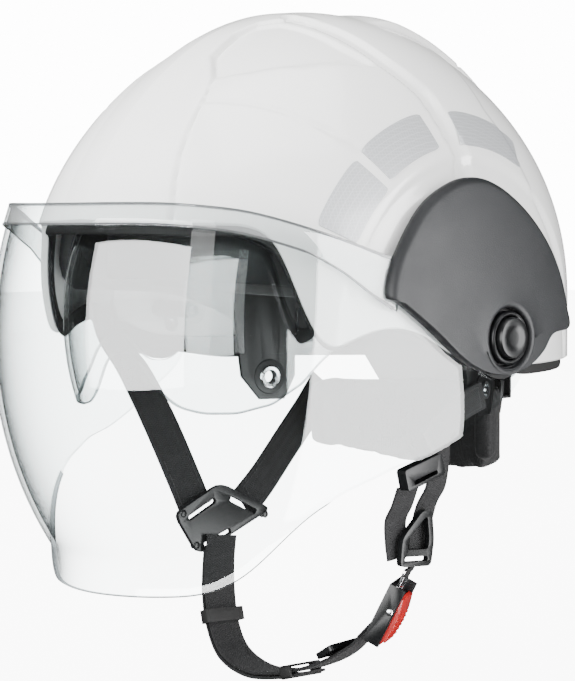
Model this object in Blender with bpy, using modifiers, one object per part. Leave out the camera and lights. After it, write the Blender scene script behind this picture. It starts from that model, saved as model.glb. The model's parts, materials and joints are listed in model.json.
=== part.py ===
"""Fire and rescue helmet with a clear face shield, an inner eye shield and a chin harness.

Sizes are in metres. +Z is up, the wearer faces -Y, and the wearer's left is +X. The origin is the
middle of the wearer's head at ear level. Both shields are surfaces of revolution about their own
pivot axis, so each swings without leaving its own track.
"""

import math

import bmesh
import bpy
from mathutils import Matrix, Vector

# ---- Driving dimensions -------------------------------------------------------------------------

SHELL_HALF_WIDTH = 0.122
SHELL_HALF_LENGTH = 0.150
SHELL_REAR_LENGTH = 0.1555
SHELL_RISE = 0.147
SHELL_WIDEST_Z = 0.015
SHELL_WALL = 0.0035
SHELL_BACK_LEAN = 0.008
CREST_HEIGHT = 0.0035
CREST_HALF_WIDTH = 0.034

SMALL_GAP = 0.0004
RUNNING_GAP = 0.0004
LINER_GAP = 0.0012
TRIM_GAP = 0.0009

LINER_HALF_WIDTH_INSIDE = SHELL_HALF_WIDTH - 0.0192
LINER_HALF_LENGTH_INSIDE = SHELL_HALF_LENGTH - 0.022
LINER_RISE_INSIDE = SHELL_RISE - 0.024

SHIELD_PIVOT_Y = 0.012
SHIELD_PIVOT_Z = 0.0
SHIELD_HALF_WIDTH = SHELL_HALF_WIDTH + 0.004
SHIELD_REACH = SHELL_HALF_LENGTH + 0.023
SHIELD_HUB_SETBACK = 0.012
SHIELD_WALL = 0.0025
SHIELD_LIP_FLARE = 0.008
SHIELD_LIP_DEPTH = math.radians(4.8)
HUB_RADIUS = 0.020
HUB_PLAY = 0.0004
SHIELD_SEAT_PLAY = 0.0010
BOSS_RADIUS = 0.009
SCREW_RADIUS = 0.0026
SCREW_HEAD_RADIUS = 0.0048

COVER_CLEARANCE = 0.0028
COVER_WALL = 0.0030
COVER_SKIRT = 0.0046
COVER_HOLE_RADIUS = 0.0143
BUTTON_RADIUS = 0.010
BUTTON_HEIGHT = 0.0055
BUTTON_TRAVEL = 0.0025

EYE_PIVOT_Y = 0.005
EYE_PIVOT_Z = 0.008
EYE_RADIUS = SHELL_HALF_LENGTH - 0.0235
EYE_HALF_WIDTH = SHELL_HALF_WIDTH - 0.032
EYE_WALL = 0.0022
EYE_PIN_RADIUS = 0.0021
EYE_POST_RADIUS = 0.0044
EYE_ARM_WALL = 0.0020
EYE_SWEEP_GAP = 0.0045
EYE_ARM_REACH = 0.060
EYE_ARM_HALF_HEIGHT = 0.006

HEADBAND_HALF_WIDTH = SHELL_HALF_WIDTH - 0.038
HEADBAND_HALF_LENGTH = SHELL_HALF_LENGTH - 0.044
HEADBAND_HEIGHT = 0.022
HEADBAND_WALL = 0.0015
PAD_THICKNESS = 0.0045

PLATE_HALF_WIDTH = SHELL_HALF_WIDTH - 0.0345
PLATE_HALF_LENGTH = SHELL_HALF_LENGTH - 0.0265
PLATE_WALL = 0.0022
# Half width and half length of the ring of plates that the harness coordinates are set out on.
DRAWN_HALF_WIDTH = 0.0875
DRAWN_HALF_LENGTH = 0.1235
PLATE_REAR = 0.066
EYELET_Y = 0.0515
EYELET_RADIUS = 0.0042

WEBBING_WIDTH = 0.021
WEBBING_WALL = 0.0015
CRADLE_WALL = 0.0011

RATCHET_Z = -0.027
PINION_RADIUS = 0.0046
RACK_HEIGHT = 0.0055
RACK_WALL = 0.0036
KNOB_RADIUS = 0.013
KNOB_HEIGHT = 0.0085

BUCKLE_WIDTH = 0.024
BUCKLE_LENGTH = 0.032

# Height of the shell's lower edge against the angle round from the brow, in degrees.
SHELL_EDGE = (
    (0, 0.056), (44, 0.054), (48, 0.046), (50, 0.031), (52.5, 0.014), (55, 0.002), (58, -0.005),
    (61, 0.001), (66, 0.006), (72, 0.007), (77, 0.004), (83, -0.006), (90, -0.012), (100, -0.014),
    (180, -0.014),
)
# Length of rubber trim that shows below the shell's edge, on the same angles.
TRIM_DROP = (
    (0, 0.0045), (43, 0.0045), (48, 0.003), (54, 0.0022), (98, 0.0022), (107, 0.0055), (180, 0.0055),
)
# Height of the liner's lower edge, on the same angles.
LINER_EDGE = (
    (0, 0.067), (44, 0.066), (48, 0.058), (50, 0.044), (52.5, 0.029), (56, 0.0195), (75, 0.0185),
    (90, 0.0165), (104, 0.0135), (112, -0.006), (180, -0.006),
)
# Angle of the face shield's upper and lower edge about its pivot, against the distance from it.
SHIELD_TOP = (
    (0.0205, 120), (0.024, 108), (0.028, 84), (0.034, 62), (0.042, 48), (0.060, 34), (0.078, 30),
    (0.093, 28.5), (0.112, 27.1), (0.140, 25.4), (0.165, 22.7), (0.186, 20),
)
SHIELD_BOTTOM = (
    (0.0205, -150), (0.024, -132), (0.028, -104), (0.034, -83), (0.042, -71), (0.059, -58),
    (0.083, -44.8), (0.107, -40.1), (0.131, -39.0), (0.154, -38.6), (0.169, -37.4), (0.186, -33.8),
)
# Height of the eye shield's edges against the distance from the middle plane.
EYE_BOTTOM = (
    (0.0, -0.004), (0.007, -0.006), (0.013, -0.013), (0.022, -0.025), (0.032, -0.0325),
    (0.045, -0.035), (0.060, -0.0345), (0.072, -0.030), (0.080, -0.020), (0.0868, -0.001),
)
EYE_TOP = ((0.0, 0.057), (0.050, 0.053), (0.068, 0.045), (0.080, 0.034), (0.0868, 0.018))
# Side cover outline (y, z), from its front corner over the top to its lower rear corner.
COVER_OUTLINE = (
    (-0.060, 0.022), (-0.054, 0.040), (-0.037, 0.062), (-0.018, 0.0735), (-0.001, 0.0768),
    (0.0145, 0.073), (0.031, 0.062), (0.045, 0.047), (0.054, 0.031), (0.059, 0.014),
    (0.0605, 0.004), (0.046, 0.001), (0.038, -0.0072), (0.027, -0.0140), (0.0125, -0.0172),
    (-0.003, -0.0162), (-0.0196, -0.0088), (-0.038, 0.0055), (-0.054, 0.0175),
)

HALF_TURN = math.pi
FULL_TURN = 2 * math.pi

# ---- Scene and mesh helpers ---------------------------------------------------------------------


def clear_scene():
    """Remove what the scene holds."""
    for obj in list(bpy.data.objects):
        bpy.data.objects.remove(obj, do_unlink=True)


def new_collection(name):
    """Make a collection and link it to the scene."""
    collection = bpy.data.collections.new(name)
    bpy.context.scene.collection.children.link(collection)
    return collection


def make_material(name, color, roughness, metallic=0.0, alpha=1.0):
    """Make a Principled material."""
    material = bpy.data.materials.new(name)
    material.use_nodes = True
    shader = material.node_tree.nodes["Principled BSDF"]
    shader.inputs["Base Color"].default_value = (*color, 1.0)
    shader.inputs["Roughness"].default_value = roughness
    shader.inputs["Metallic"].default_value = metallic
    shader.inputs["Alpha"].default_value = alpha
    material.diffuse_color = (*color, alpha)
    return material


def add_object(name, mesh, material=None, collection=None):
    """Link an object that holds this mesh or curve."""
    obj = bpy.data.objects.new(name, mesh)
    (collection or PARTS).objects.link(obj)
    if material:
        obj.data.materials.append(material)
    return obj


def add_bmesh(name, mesh_edit, material=None, collection=None, smooth=True):
    """Turn a bmesh into an object."""
    mesh = bpy.data.meshes.new(name)
    mesh_edit.to_mesh(mesh)
    mesh_edit.free()
    if smooth:
        mesh.shade_smooth()
        mesh.set_sharp_from_angle(angle=math.radians(35))
    return add_object(name, mesh, material, collection)


def hide_helper(obj):
    """Keep a cutter out of the model."""
    obj.hide_render = True
    obj.display_type = "WIRE"
    return obj


def empty_at(name, place):
    """Add an empty that marks a joint axis."""
    obj = bpy.data.objects.new(name, None)
    obj.location = place
    obj.empty_display_size = 0.02
    PARTS.objects.link(obj)
    bpy.context.view_layer.update()
    return obj


def parent_to(parent, *children):
    """Parent objects and leave them where they are."""
    for child in children:
        child.parent = parent
        child.matrix_parent_inverse = parent.matrix_world.inverted()


def interpolate(table, value):
    """Read a table of (position, result) pairs along straight lines."""
    if value <= table[0][0]:
        return table[0][1]
    for (low, at_low), (high, at_high) in zip(table, table[1:]):
        if value <= high:
            return at_low + (at_high - at_low) * (value - low) / (high - low)
    return table[-1][1]


def smooth_step(low, high, value):
    """Rise smoothly from 0 at low to 1 at high."""
    share = min(max((value - low) / (high - low), 0.0), 1.0)
    return share * share * (3 - 2 * share)


def grid_faces(mesh_edit, rows, closed):
    """Fill the faces between rows of vertices."""
    count = len(rows[0])
    for lower, upper in zip(rows, rows[1:]):
        for i in range(count if closed else count - 1):
            j = (i + 1) % count
            mesh_edit.faces.new((lower[i], lower[j], upper[j], upper[i]))


def face_away_from(mesh_edit, inside):
    """Turn the faces of an open surface so that they look away from a point."""
    mesh_edit.normal_update()
    outward = sum(
        face.normal.dot(face.calc_center_median() - inside) * face.calc_area()
        for face in mesh_edit.faces
    )
    if outward < 0:
        bmesh.ops.reverse_faces(mesh_edit, faces=mesh_edit.faces[:])


def surface(rows, inside, closed=False, pole=None):
    """Make an open surface from rows of points, with an optional pole over the last row."""
    mesh_edit = bmesh.new()
    grid = [[mesh_edit.verts.new(point) for point in row] for row in rows]
    grid_faces(mesh_edit, grid, closed)
    if pole is not None:
        top = mesh_edit.verts.new(pole)
        last = grid[-1]
        for i, vertex in enumerate(last):
            mesh_edit.faces.new((vertex, last[(i + 1) % len(last)], top))
    face_away_from(mesh_edit, inside)
    return mesh_edit


def sheet(name, rows, thickness, inside, material, closed=False, pole=None, offset=-1.0):
    """Make a plate of even thickness from rows of points."""
    obj = add_bmesh(name, surface(rows, inside, closed, pole), material)
    solidify = obj.modifiers.new("thickness", "SOLIDIFY")
    solidify.thickness = thickness
    solidify.offset = offset
    solidify.use_even_offset = False
    return obj


def lathe(name, profile, place, outward, material, steps=24):
    """Turn a profile of (radius, height) pairs. It runs from the top down its outer side."""
    mesh_edit = bmesh.new()
    points = [mesh_edit.verts.new((radius, 0, height)) for radius, height in profile]
    for start, end in zip(points, points[1:]):
        mesh_edit.edges.new((start, end))
    if profile[0][0] > 0:
        mesh_edit.edges.new((points[-1], points[0]))
    obj = add_bmesh(name, mesh_edit, material, smooth=False)
    screw = obj.modifiers.new("turn", "SCREW")
    screw.axis = "Z"
    screw.steps = steps
    screw.render_steps = steps
    screw.use_merge_vertices = True
    screw.merge_threshold = 0.00005
    screw.use_smooth_shade = True
    obj.rotation_euler = Vector(outward).to_track_quat("Z", "Y").to_euler()
    obj.location = place
    return obj


def solid_rod(radius, start, end, name, material=None, collection=None, segments=16):
    """Make a plain round rod between two points."""
    start, end = Vector(start), Vector(end)
    mesh_edit = bmesh.new()
    bmesh.ops.create_cone(
        mesh_edit, cap_ends=True, segments=segments, radius1=radius, radius2=radius,
        depth=(end - start).length,
    )
    obj = add_bmesh(name, mesh_edit, material, collection)
    obj.rotation_euler = (end - start).to_track_quat("Z", "Y").to_euler()
    obj.location = (start + end) / 2
    return obj


def frame_at(origin, along, normal):
    """Give the matrix of a frame: its Y runs along a direction and its Z is nearest the normal."""
    y_axis = Vector(along).normalized()
    x_axis = y_axis.cross(Vector(normal)).normalized()
    z_axis = x_axis.cross(y_axis)
    matrix = Matrix((x_axis, y_axis, z_axis)).transposed().to_4x4()
    matrix.translation = Vector(origin)
    return matrix


def plate(name, outlines, thickness, matrix, material, rounding=0.0):
    """Extrude flat outlines, the first the outside and the rest its holes, both ways from a plane."""
    curve = bpy.data.curves.new(name, "CURVE")
    curve.dimensions = "2D"
    curve.fill_mode = "BOTH"
    curve.extrude = thickness / 2
    for outline in outlines:
        spline = curve.splines.new("POLY")
        spline.points.add(len(outline) - 1)
        for point, (x, y) in zip(spline.points, outline):
            point.co = (x, y, 0, 1)
        spline.use_cyclic_u = True
    obj = add_object(name, curve, material)
    obj.matrix_world = matrix
    if not rounding:
        return obj
    return as_mesh(obj, rounding)


def as_mesh(curve_obj, rounding=0.0):
    """Replace a curve object by its welded mesh, at the same place."""
    bpy.context.view_layer.update()
    graph = bpy.context.evaluated_depsgraph_get()
    mesh = bpy.data.meshes.new_from_object(curve_obj.evaluated_get(graph))
    name, place = curve_obj.name, curve_obj.matrix_world.copy()
    bpy.data.objects.remove(curve_obj, do_unlink=True)
    mesh_edit = bmesh.new()
    mesh_edit.from_mesh(mesh)
    bmesh.ops.remove_doubles(mesh_edit, verts=mesh_edit.verts[:], dist=0.00001)
    bmesh.ops.recalc_face_normals(mesh_edit, faces=mesh_edit.faces[:])
    mesh_edit.to_mesh(mesh)
    mesh_edit.free()
    obj = bpy.data.objects.new(name, mesh)
    PARTS.objects.link(obj)
    obj.name = name
    obj.matrix_world = place
    if rounding:
        bevel = obj.modifiers.new("round", "BEVEL")
        bevel.width = rounding
        bevel.segments = 1
        bevel.limit_method = "ANGLE"
        bevel.angle_limit = math.radians(50)
    return obj


def combine(obj, other, operation):
    """Add a Boolean modifier. A cutter is hidden, and a joined piece is hidden too."""
    boolean = obj.modifiers.new(operation.lower(), "BOOLEAN")
    boolean.operation = operation
    boolean.object = other
    return obj


def arc(centre, radius, start, end, steps):
    """List points on an arc in a plane, angles in degrees."""
    return [
        (
            centre[0] + radius * math.cos(math.radians(start + (end - start) * i / steps)),
            centre[1] + radius * math.sin(math.radians(start + (end - start) * i / steps)),
        )
        for i in range(steps + 1)
    ]


def rounded_rectangle(width, length, radius, steps=3, centre=(0.0, 0.0)):
    """List the outline of a rectangle with round corners."""
    points = []
    for sign_x, sign_y, start in ((1, 1, 0), (-1, 1, 90), (-1, -1, 180), (1, -1, 270)):
        corner = (
            centre[0] + sign_x * (width / 2 - radius),
            centre[1] + sign_y * (length / 2 - radius),
        )
        points += arc(corner, radius, start, start + 90, steps)
    return points


def round_corners(points, radius, steps=3):
    """List a closed outline with its corners rounded, each as a short curve."""
    rounded = []
    count = len(points)
    for i in range(count):
        corner = Vector(points[i])
        before = Vector(points[i - 1]) - corner
        after = Vector(points[(i + 1) % count]) - corner
        reach = min(radius, before.length * 0.45, after.length * 0.45)
        start = corner + before.normalized() * reach
        end = corner + after.normalized() * reach
        for k in range(steps + 1):
            share = k / steps
            point = (
                start * (1 - share) ** 2 + corner * 2 * share * (1 - share) + end * share**2
            )
            rounded.append((point.x, point.y))
    return rounded


def spline_points(controls, samples):
    """Sample a smooth curve through its control points, each a Vector."""
    last = len(controls) - 1
    sampled = []
    for i in range(samples + 1):
        position = i / samples * last
        k = min(int(position), last - 1)
        t = position - k
        before = controls[max(k - 1, 0)]
        start, end = controls[k], controls[k + 1]
        after = controls[min(k + 2, last)]
        leave = (end - before) / 2
        arrive = (after - start) / 2
        sampled.append(
            start * (2 * t**3 - 3 * t**2 + 1)
            + leave * (t**3 - 2 * t**2 + t)
            + end * (-2 * t**3 + 3 * t**2)
            + arrive * (t**3 - t**2)
        )
    return sampled


def stretched(value, drawn, real):
    """Scale a coordinate inside the ring it was set out on, and shift it outside that ring."""
    if abs(value) < drawn:
        return value * real / drawn
    return value + math.copysign(real - drawn, value)


def on_head(point):
    """Move a harness point from the ring it was set out on to the one that the shell has room for."""
    return Vector(
        (
            stretched(point[0], DRAWN_HALF_WIDTH, PLATE_HALF_WIDTH),
            stretched(point[1], DRAWN_HALF_LENGTH, PLATE_HALF_LENGTH),
            point[2],
        )
    )


def strap_frames(stations, samples):
    """List the place, the direction and the direction across, along a strap."""
    path = spline_points([on_head(place) for place, _ in stations], samples)
    across = spline_points([Vector(side).normalized() for _, side in stations], samples)
    frames = []
    for i, point in enumerate(path):
        ahead = path[min(i + 1, samples)] - path[max(i - 1, 0)]
        ahead.normalize()
        side = across[i] - ahead * across[i].dot(ahead)
        frames.append((point, ahead, side.normalized()))
    return frames


def webbing(name, stations, material, width=WEBBING_WIDTH, wall=WEBBING_WALL, samples=14):
    """Lay flat webbing through stations, each a point and the direction across the webbing."""
    rows = [
        [point - side * width / 2, point + side * width / 2]
        for point, _, side in strap_frames(stations, samples)
    ]
    mesh_edit = bmesh.new()
    grid = [[mesh_edit.verts.new(point) for point in row] for row in rows]
    grid_faces(mesh_edit, grid, False)
    obj = add_bmesh(name, mesh_edit, material)
    solidify = obj.modifiers.new("thickness", "SOLIDIFY")
    solidify.thickness = wall
    solidify.offset = 0.0
    return obj


def mirrored(point, side):
    """Give a point of the left side for side 1, or its twin on the right for side -1."""
    return Vector((point[0] * side, point[1], point[2]))


# ---- Shapes that several pieces share -----------------------------------------------------------


def shell_point(angle, rise, inset=0.0, widest_z=SHELL_WIDEST_Z):
    """Give a point of the shell's outer surface, or of a surface inside it.

    angle runs from the brow towards the wearer's left, and rise from the widest level upwards.
    """
    half_width = SHELL_HALF_WIDTH - inset
    half_length = (SHELL_HALF_LENGTH if math.cos(angle) > 0 else SHELL_REAR_LENGTH) - inset
    if rise <= 0:
        height = widest_z + SHELL_RISE * rise
        return Vector((half_width * math.sin(angle), -half_length * math.cos(angle), height))
    level = math.sin(rise)
    reach = math.cos(rise) * (1 - 0.07 * level**3)
    lean = SHELL_BACK_LEAN * level**1.5 * math.cos(rise) ** 0.5
    point = Vector(
        (
            half_width * reach * math.sin(angle),
            -half_length * reach * math.cos(angle) + lean,
            widest_z + (SHELL_RISE - inset) * level,
        )
    )
    middle = 1 - smooth_step(0.6 * CREST_HALF_WIDTH, CREST_HALF_WIDTH, abs(point.x))
    behind = smooth_step(0.0, 0.05, point.y)
    crest = CREST_HEIGHT * middle * behind * smooth_step(0.3, 0.6, level)
    return point * (1 + crest / point.length)


def rise_of(height, inset=0.0):
    """Give the rise at which the shell reaches a height."""
    level = height - SHELL_WIDEST_Z
    if level <= 0:
        return level / SHELL_RISE
    return math.asin(min(level / (SHELL_RISE - inset), 1.0))


def edge_angles():
    """List angles round the shell, closer together at the corners of the face opening."""
    half = (0, 8, 16, 24, 31, 38, 43, 46, 48, 50, 52, 54, 56, 58.5, 61, 65, 70, 76, 83, 90, 98)
    half += (106, 114, 124, 136, 150, 165, 180)
    mirrored_half = [-angle for angle in half[1:-1]][::-1]
    return [math.radians(angle) for angle in (*half, *mirrored_half)]


def shell_rows(edge, inset, count, angles):
    """List rows of points from an edge up towards the crown."""
    rows = []
    for row in range(count):
        share = row / count
        points = []
        for angle in angles:
            start = rise_of(interpolate(edge, abs(math.degrees(angle))), inset)
            points.append(shell_point(angle, start + (HALF_TURN / 2 - start) * share, inset))
        rows.append(points)
    return rows


def crown(inset):
    """Give the shell's top point."""
    return shell_point(0.0, HALF_TURN / 2, inset)


def shield_surface(meridian, angle, flare=0.0):
    """Give a point of the face shield's outer surface, by its meridian and angle about the pivot."""
    radius = SHIELD_HUB_SETBACK + SHIELD_REACH * math.cos(meridian) + flare
    return Vector(
        (
            SHIELD_HALF_WIDTH * math.sin(meridian),
            SHIELD_PIVOT_Y - radius * math.cos(angle),
            SHIELD_PIVOT_Z + radius * math.sin(angle),
        )
    )


def shield_side_x(radius):
    """Give how far out the face shield's surface is, at a distance from its pivot axis."""
    share = (radius - SHIELD_HUB_SETBACK) / SHIELD_REACH
    return SHIELD_HALF_WIDTH * math.sqrt(max(1 - share * share, 0.0))


def eye_surface_radius(x):
    """Give the eye shield's distance from its pivot axis, at a distance from the middle plane."""
    share = min(abs(x) / EYE_HALF_WIDTH, 1.0)
    return EYE_RADIUS * (1 - share**3) ** (1 / 3)


def clear_of_eye_shield(point):
    """Push a point of the liner outwards until the eye shield can swing past it."""
    need = eye_surface_radius(point.x) + EYE_SWEEP_GAP
    if abs(point.x) > EYE_HALF_WIDTH + EYE_SWEEP_GAP:
        return point
    if abs(point.x) > EYE_HALF_WIDTH - 2 * EYE_SWEEP_GAP:
        need = max(need, EYE_ARM_REACH + EYE_ARM_HALF_HEIGHT + EYE_SWEEP_GAP)
    spoke = Vector((0, point.y - EYE_PIVOT_Y, point.z - EYE_PIVOT_Z))
    if spoke.length >= need:
        return point
    grown = spoke.normalized() * need
    return Vector((point.x, EYE_PIVOT_Y + grown.y, EYE_PIVOT_Z + grown.z))


def ring_point(half_width, half_length, angle, height):
    """Give a point of an oval ring about the head, its angle from the brow."""
    return Vector((half_width * math.sin(angle), -half_length * math.cos(angle), height))


def headband_height(angle):
    """Give the height of the headband's lower edge. The band drops towards the nape."""
    return 0.028 - 0.018 * (1 - math.cos(angle)) / 2


# ---- Materials and collections ------------------------------------------------------------------

clear_scene()
PARTS = new_collection("rescue_helmet")
CUTTERS = new_collection("cutters")

WHITE_GLOSS = make_material("white_gloss_shell", (0.88, 0.88, 0.88), 0.12)
BLACK_GRAIN = make_material("black_grained_plastic", (0.025, 0.025, 0.027), 0.55)
BLACK_PLASTIC = make_material("black_moulded_plastic", (0.015, 0.015, 0.016), 0.38)
BLACK_RUBBER = make_material("black_rubber_trim", (0.02, 0.02, 0.02), 0.7)
BLACK_FOAM = make_material("black_foam_liner", (0.03, 0.03, 0.032), 0.85)
BLACK_WEBBING = make_material("black_webbing", (0.012, 0.012, 0.013), 0.8)
BLACK_LEATHER = make_material("black_leather_pad", (0.018, 0.018, 0.019), 0.5)
CLEAR_SHIELD = make_material("clear_polycarbonate", (0.97, 0.98, 0.98), 0.03, 0.0, 0.25)
SILVER_TAPE = make_material("silver_reflective_tape", (0.66, 0.66, 0.67), 0.4)
STEEL = make_material("bright_steel", (0.6, 0.6, 0.61), 0.25, 1.0)
RED_PLASTIC = make_material("red_lever_plastic", (0.7, 0.03, 0.02), 0.35)

HEAD_MIDDLE = Vector((0, 0, 0.03))

# ---- Shell, liner and edge trim -----------------------------------------------------------------


def screw_bore(obj, side):
    """Bore the wall of the shell for a pivot screw."""
    cutter = solid_rod(
        SCREW_RADIUS + SMALL_GAP,
        mirrored((SHELL_HALF_WIDTH - 0.012, SHIELD_PIVOT_Y, SHIELD_PIVOT_Z), side),
        mirrored((SHELL_HALF_WIDTH + 0.006, SHIELD_PIVOT_Y, SHIELD_PIVOT_Z), side),
        f"screw_bore_{'left' if side > 0 else 'right'}",
        collection=CUTTERS,
        segments=12,
    )
    combine(obj, hide_helper(cutter), "DIFFERENCE")


def build_shell():
    """Build the outer shell with its two pivot screw bores."""
    angles = edge_angles()
    rows = shell_rows(SHELL_EDGE, 0.0, 12, angles)
    shell = sheet(
        "outer_shell", rows, SHELL_WALL, HEAD_MIDDLE, WHITE_GLOSS, closed=True, pole=crown(0.0)
    )
    for side in (1, -1):
        screw_bore(shell, side)
    return shell


def build_liner():
    """Build the impact liner: its outside follows the shell and its inside clears the eye shield."""
    angles = edge_angles()[::2]
    inset = SHELL_WALL + LINER_GAP
    outer = shell_rows(LINER_EDGE, inset, 9, angles)
    inner = []
    for row in outer:
        points = []
        for point in row:
            level = (point.z - SHELL_WIDEST_Z) / (SHELL_RISE - inset)
            flat = Vector((point.x, point.y, 0))
            along = math.atan2(point.x, -point.y)
            if level > 0:
                reach = math.sqrt(1 - level * level)
            else:
                reach = 1.0
            inside = Vector(
                (
                    LINER_HALF_WIDTH_INSIDE * reach * flat.x / (SHELL_HALF_WIDTH - inset)
                    / max(reach * (1 - 0.07 * max(level, 0) ** 3), 0.01),
                    -LINER_HALF_LENGTH_INSIDE * reach * math.cos(ellipse_angle(along, inset)),
                    point.z if level <= 0 else SHELL_WIDEST_Z + LINER_RISE_INSIDE * level,
                )
            )
            points.append(clear_of_eye_shield(inside))
        inner.append(points)
    top_inside = Vector((0, 0, SHELL_WIDEST_Z + LINER_RISE_INSIDE))
    mesh_edit = bmesh.new()
    outer_grid = [[mesh_edit.verts.new(point) for point in row] for row in outer]
    inner_grid = [[mesh_edit.verts.new(point) for point in row] for row in inner]
    grid_faces(mesh_edit, inner_grid[::-1] + outer_grid, True)
    for grid, pole in ((outer_grid, crown(inset)), (inner_grid, top_inside)):
        top = mesh_edit.verts.new(pole)
        last = grid[-1]
        for i, vertex in enumerate(last):
            mesh_edit.faces.new((vertex, last[(i + 1) % len(last)], top))
    bmesh.ops.recalc_face_normals(mesh_edit, faces=mesh_edit.faces[:])
    return add_bmesh("impact_liner", mesh_edit, BLACK_FOAM)


def ellipse_angle(direction, inset):
    """Turn a direction seen from above into the shell's own angle."""
    half_width = SHELL_HALF_WIDTH - inset
    ahead = math.cos(direction) > 0
    half_length = (SHELL_HALF_LENGTH if ahead else SHELL_REAR_LENGTH) - inset
    return math.atan2(math.sin(direction) / half_width, math.cos(direction) / half_length)


def build_edge_trim():
    """Build the rubber trim inside the shell's lower edge."""
    inset = SHELL_WALL + TRIM_GAP
    overlap = 0.006
    rows = []
    for below in (True, False):
        row = []
        for angle in edge_angles():
            degrees = abs(math.degrees(angle))
            lift = -interpolate(TRIM_DROP, degrees) if below else overlap
            edge = interpolate(SHELL_EDGE, degrees) + lift
            row.append(shell_point(angle, rise_of(edge, inset), inset))
        rows.append(row)
    return sheet(
        "shell_edge_trim", rows, 0.0018, HEAD_MIDDLE, BLACK_RUBBER, closed=True
    )


def build_tape(name, side, start, end, inner, outer, material):
    """Lay a reflective tape on the shell, an arc about the shield pivot between two radii."""
    rows = []
    for radius in (inner, (inner + outer) / 2, outer):
        row = []
        for k in range(5):
            about = math.radians(start + (end - start) * k / 4)
            y = SHIELD_PIVOT_Y - radius * math.cos(about)
            z = SHIELD_PIVOT_Z + radius * math.sin(about)
            row.append(mirrored(point_on_shell(y, z, -0.0006), side))
        rows.append(row)
    return sheet(name, rows, 0.0003, HEAD_MIDDLE, material, offset=1.0)


def point_on_shell(y, z, inset):
    """Give the point of the shell's left side at a place seen from the side."""
    rise = rise_of(z, inset)
    level = max(math.sin(rise), 0.0)
    reach = math.cos(rise) * (1 - 0.07 * level**3) if level > 0 else 1.0
    lean = SHELL_BACK_LEAN * level**1.5 * math.cos(rise) ** 0.5 if level > 0 else 0.0
    half_length = (SHELL_HALF_LENGTH if y < lean else SHELL_REAR_LENGTH) - inset
    cosine = -(y - lean) / (half_length * reach)
    return shell_point(math.acos(min(max(cosine, -1.0), 1.0)), rise, inset)


build_shell()
build_liner()
build_edge_trim()
for side_name, side_sign in (("left", 1), ("right", -1)):
    build_tape(f"tape_front_{side_name}", side_sign, 30, 51, 0.0905, 0.109, SILVER_TAPE)
    build_tape(f"tape_upper_{side_name}", side_sign, 54, 78, 0.0925, 0.110, SILVER_TAPE)
    build_tape(f"tape_rear_{side_name}", side_sign, 89, 118, 0.0925, 0.1095, SILVER_TAPE)

# ---- Face shield and its pivots -----------------------------------------------------------------

SHIELD_PIVOT = Vector((0, SHIELD_PIVOT_Y, SHIELD_PIVOT_Z))
shield_axis = empty_at("face_shield_axis", SHIELD_PIVOT)


def build_face_shield():
    """Build the clear face shield with its flared lower lip and a round seat for each hub."""
    end = math.acos((HUB_RADIUS + SHIELD_SEAT_PLAY - SHIELD_HUB_SETBACK) / SHIELD_REACH)
    fine = [0.955, 0.98, 1.0]
    shares = [k / 15 for k in range(15)] + fine
    meridians = [-end * share for share in shares[:0:-1]] + [end * share for share in shares]
    lip = [
        (meridian, smooth_step(0.118, 0.166, shield_radius(meridian))) for meridian in meridians
    ]
    rows = [
        [
            shield_surface(
                meridian,
                math.radians(interpolate(SHIELD_BOTTOM, shield_radius(meridian)))
                - SHIELD_LIP_DEPTH * share,
                SHIELD_LIP_FLARE * share,
            )
            - Vector((0, 0, 0.0012 * (1 - share)))
            for meridian, share in lip
        ]
    ]
    steps = 12
    for k in range(steps + 1):
        row = []
        for meridian in meridians:
            radius = shield_radius(meridian)
            low = math.radians(interpolate(SHIELD_BOTTOM, radius))
            high = math.radians(interpolate(SHIELD_TOP, radius))
            row.append(shield_surface(meridian, low + (high - low) * k / steps))
        rows.append(row)
    return sheet("face_shield", rows, SHIELD_WALL, HEAD_MIDDLE, CLEAR_SHIELD)


def shield_radius(meridian):
    """Give the face shield's distance from its pivot axis."""
    return SHIELD_HUB_SETBACK + SHIELD_REACH * math.cos(meridian)


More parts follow.
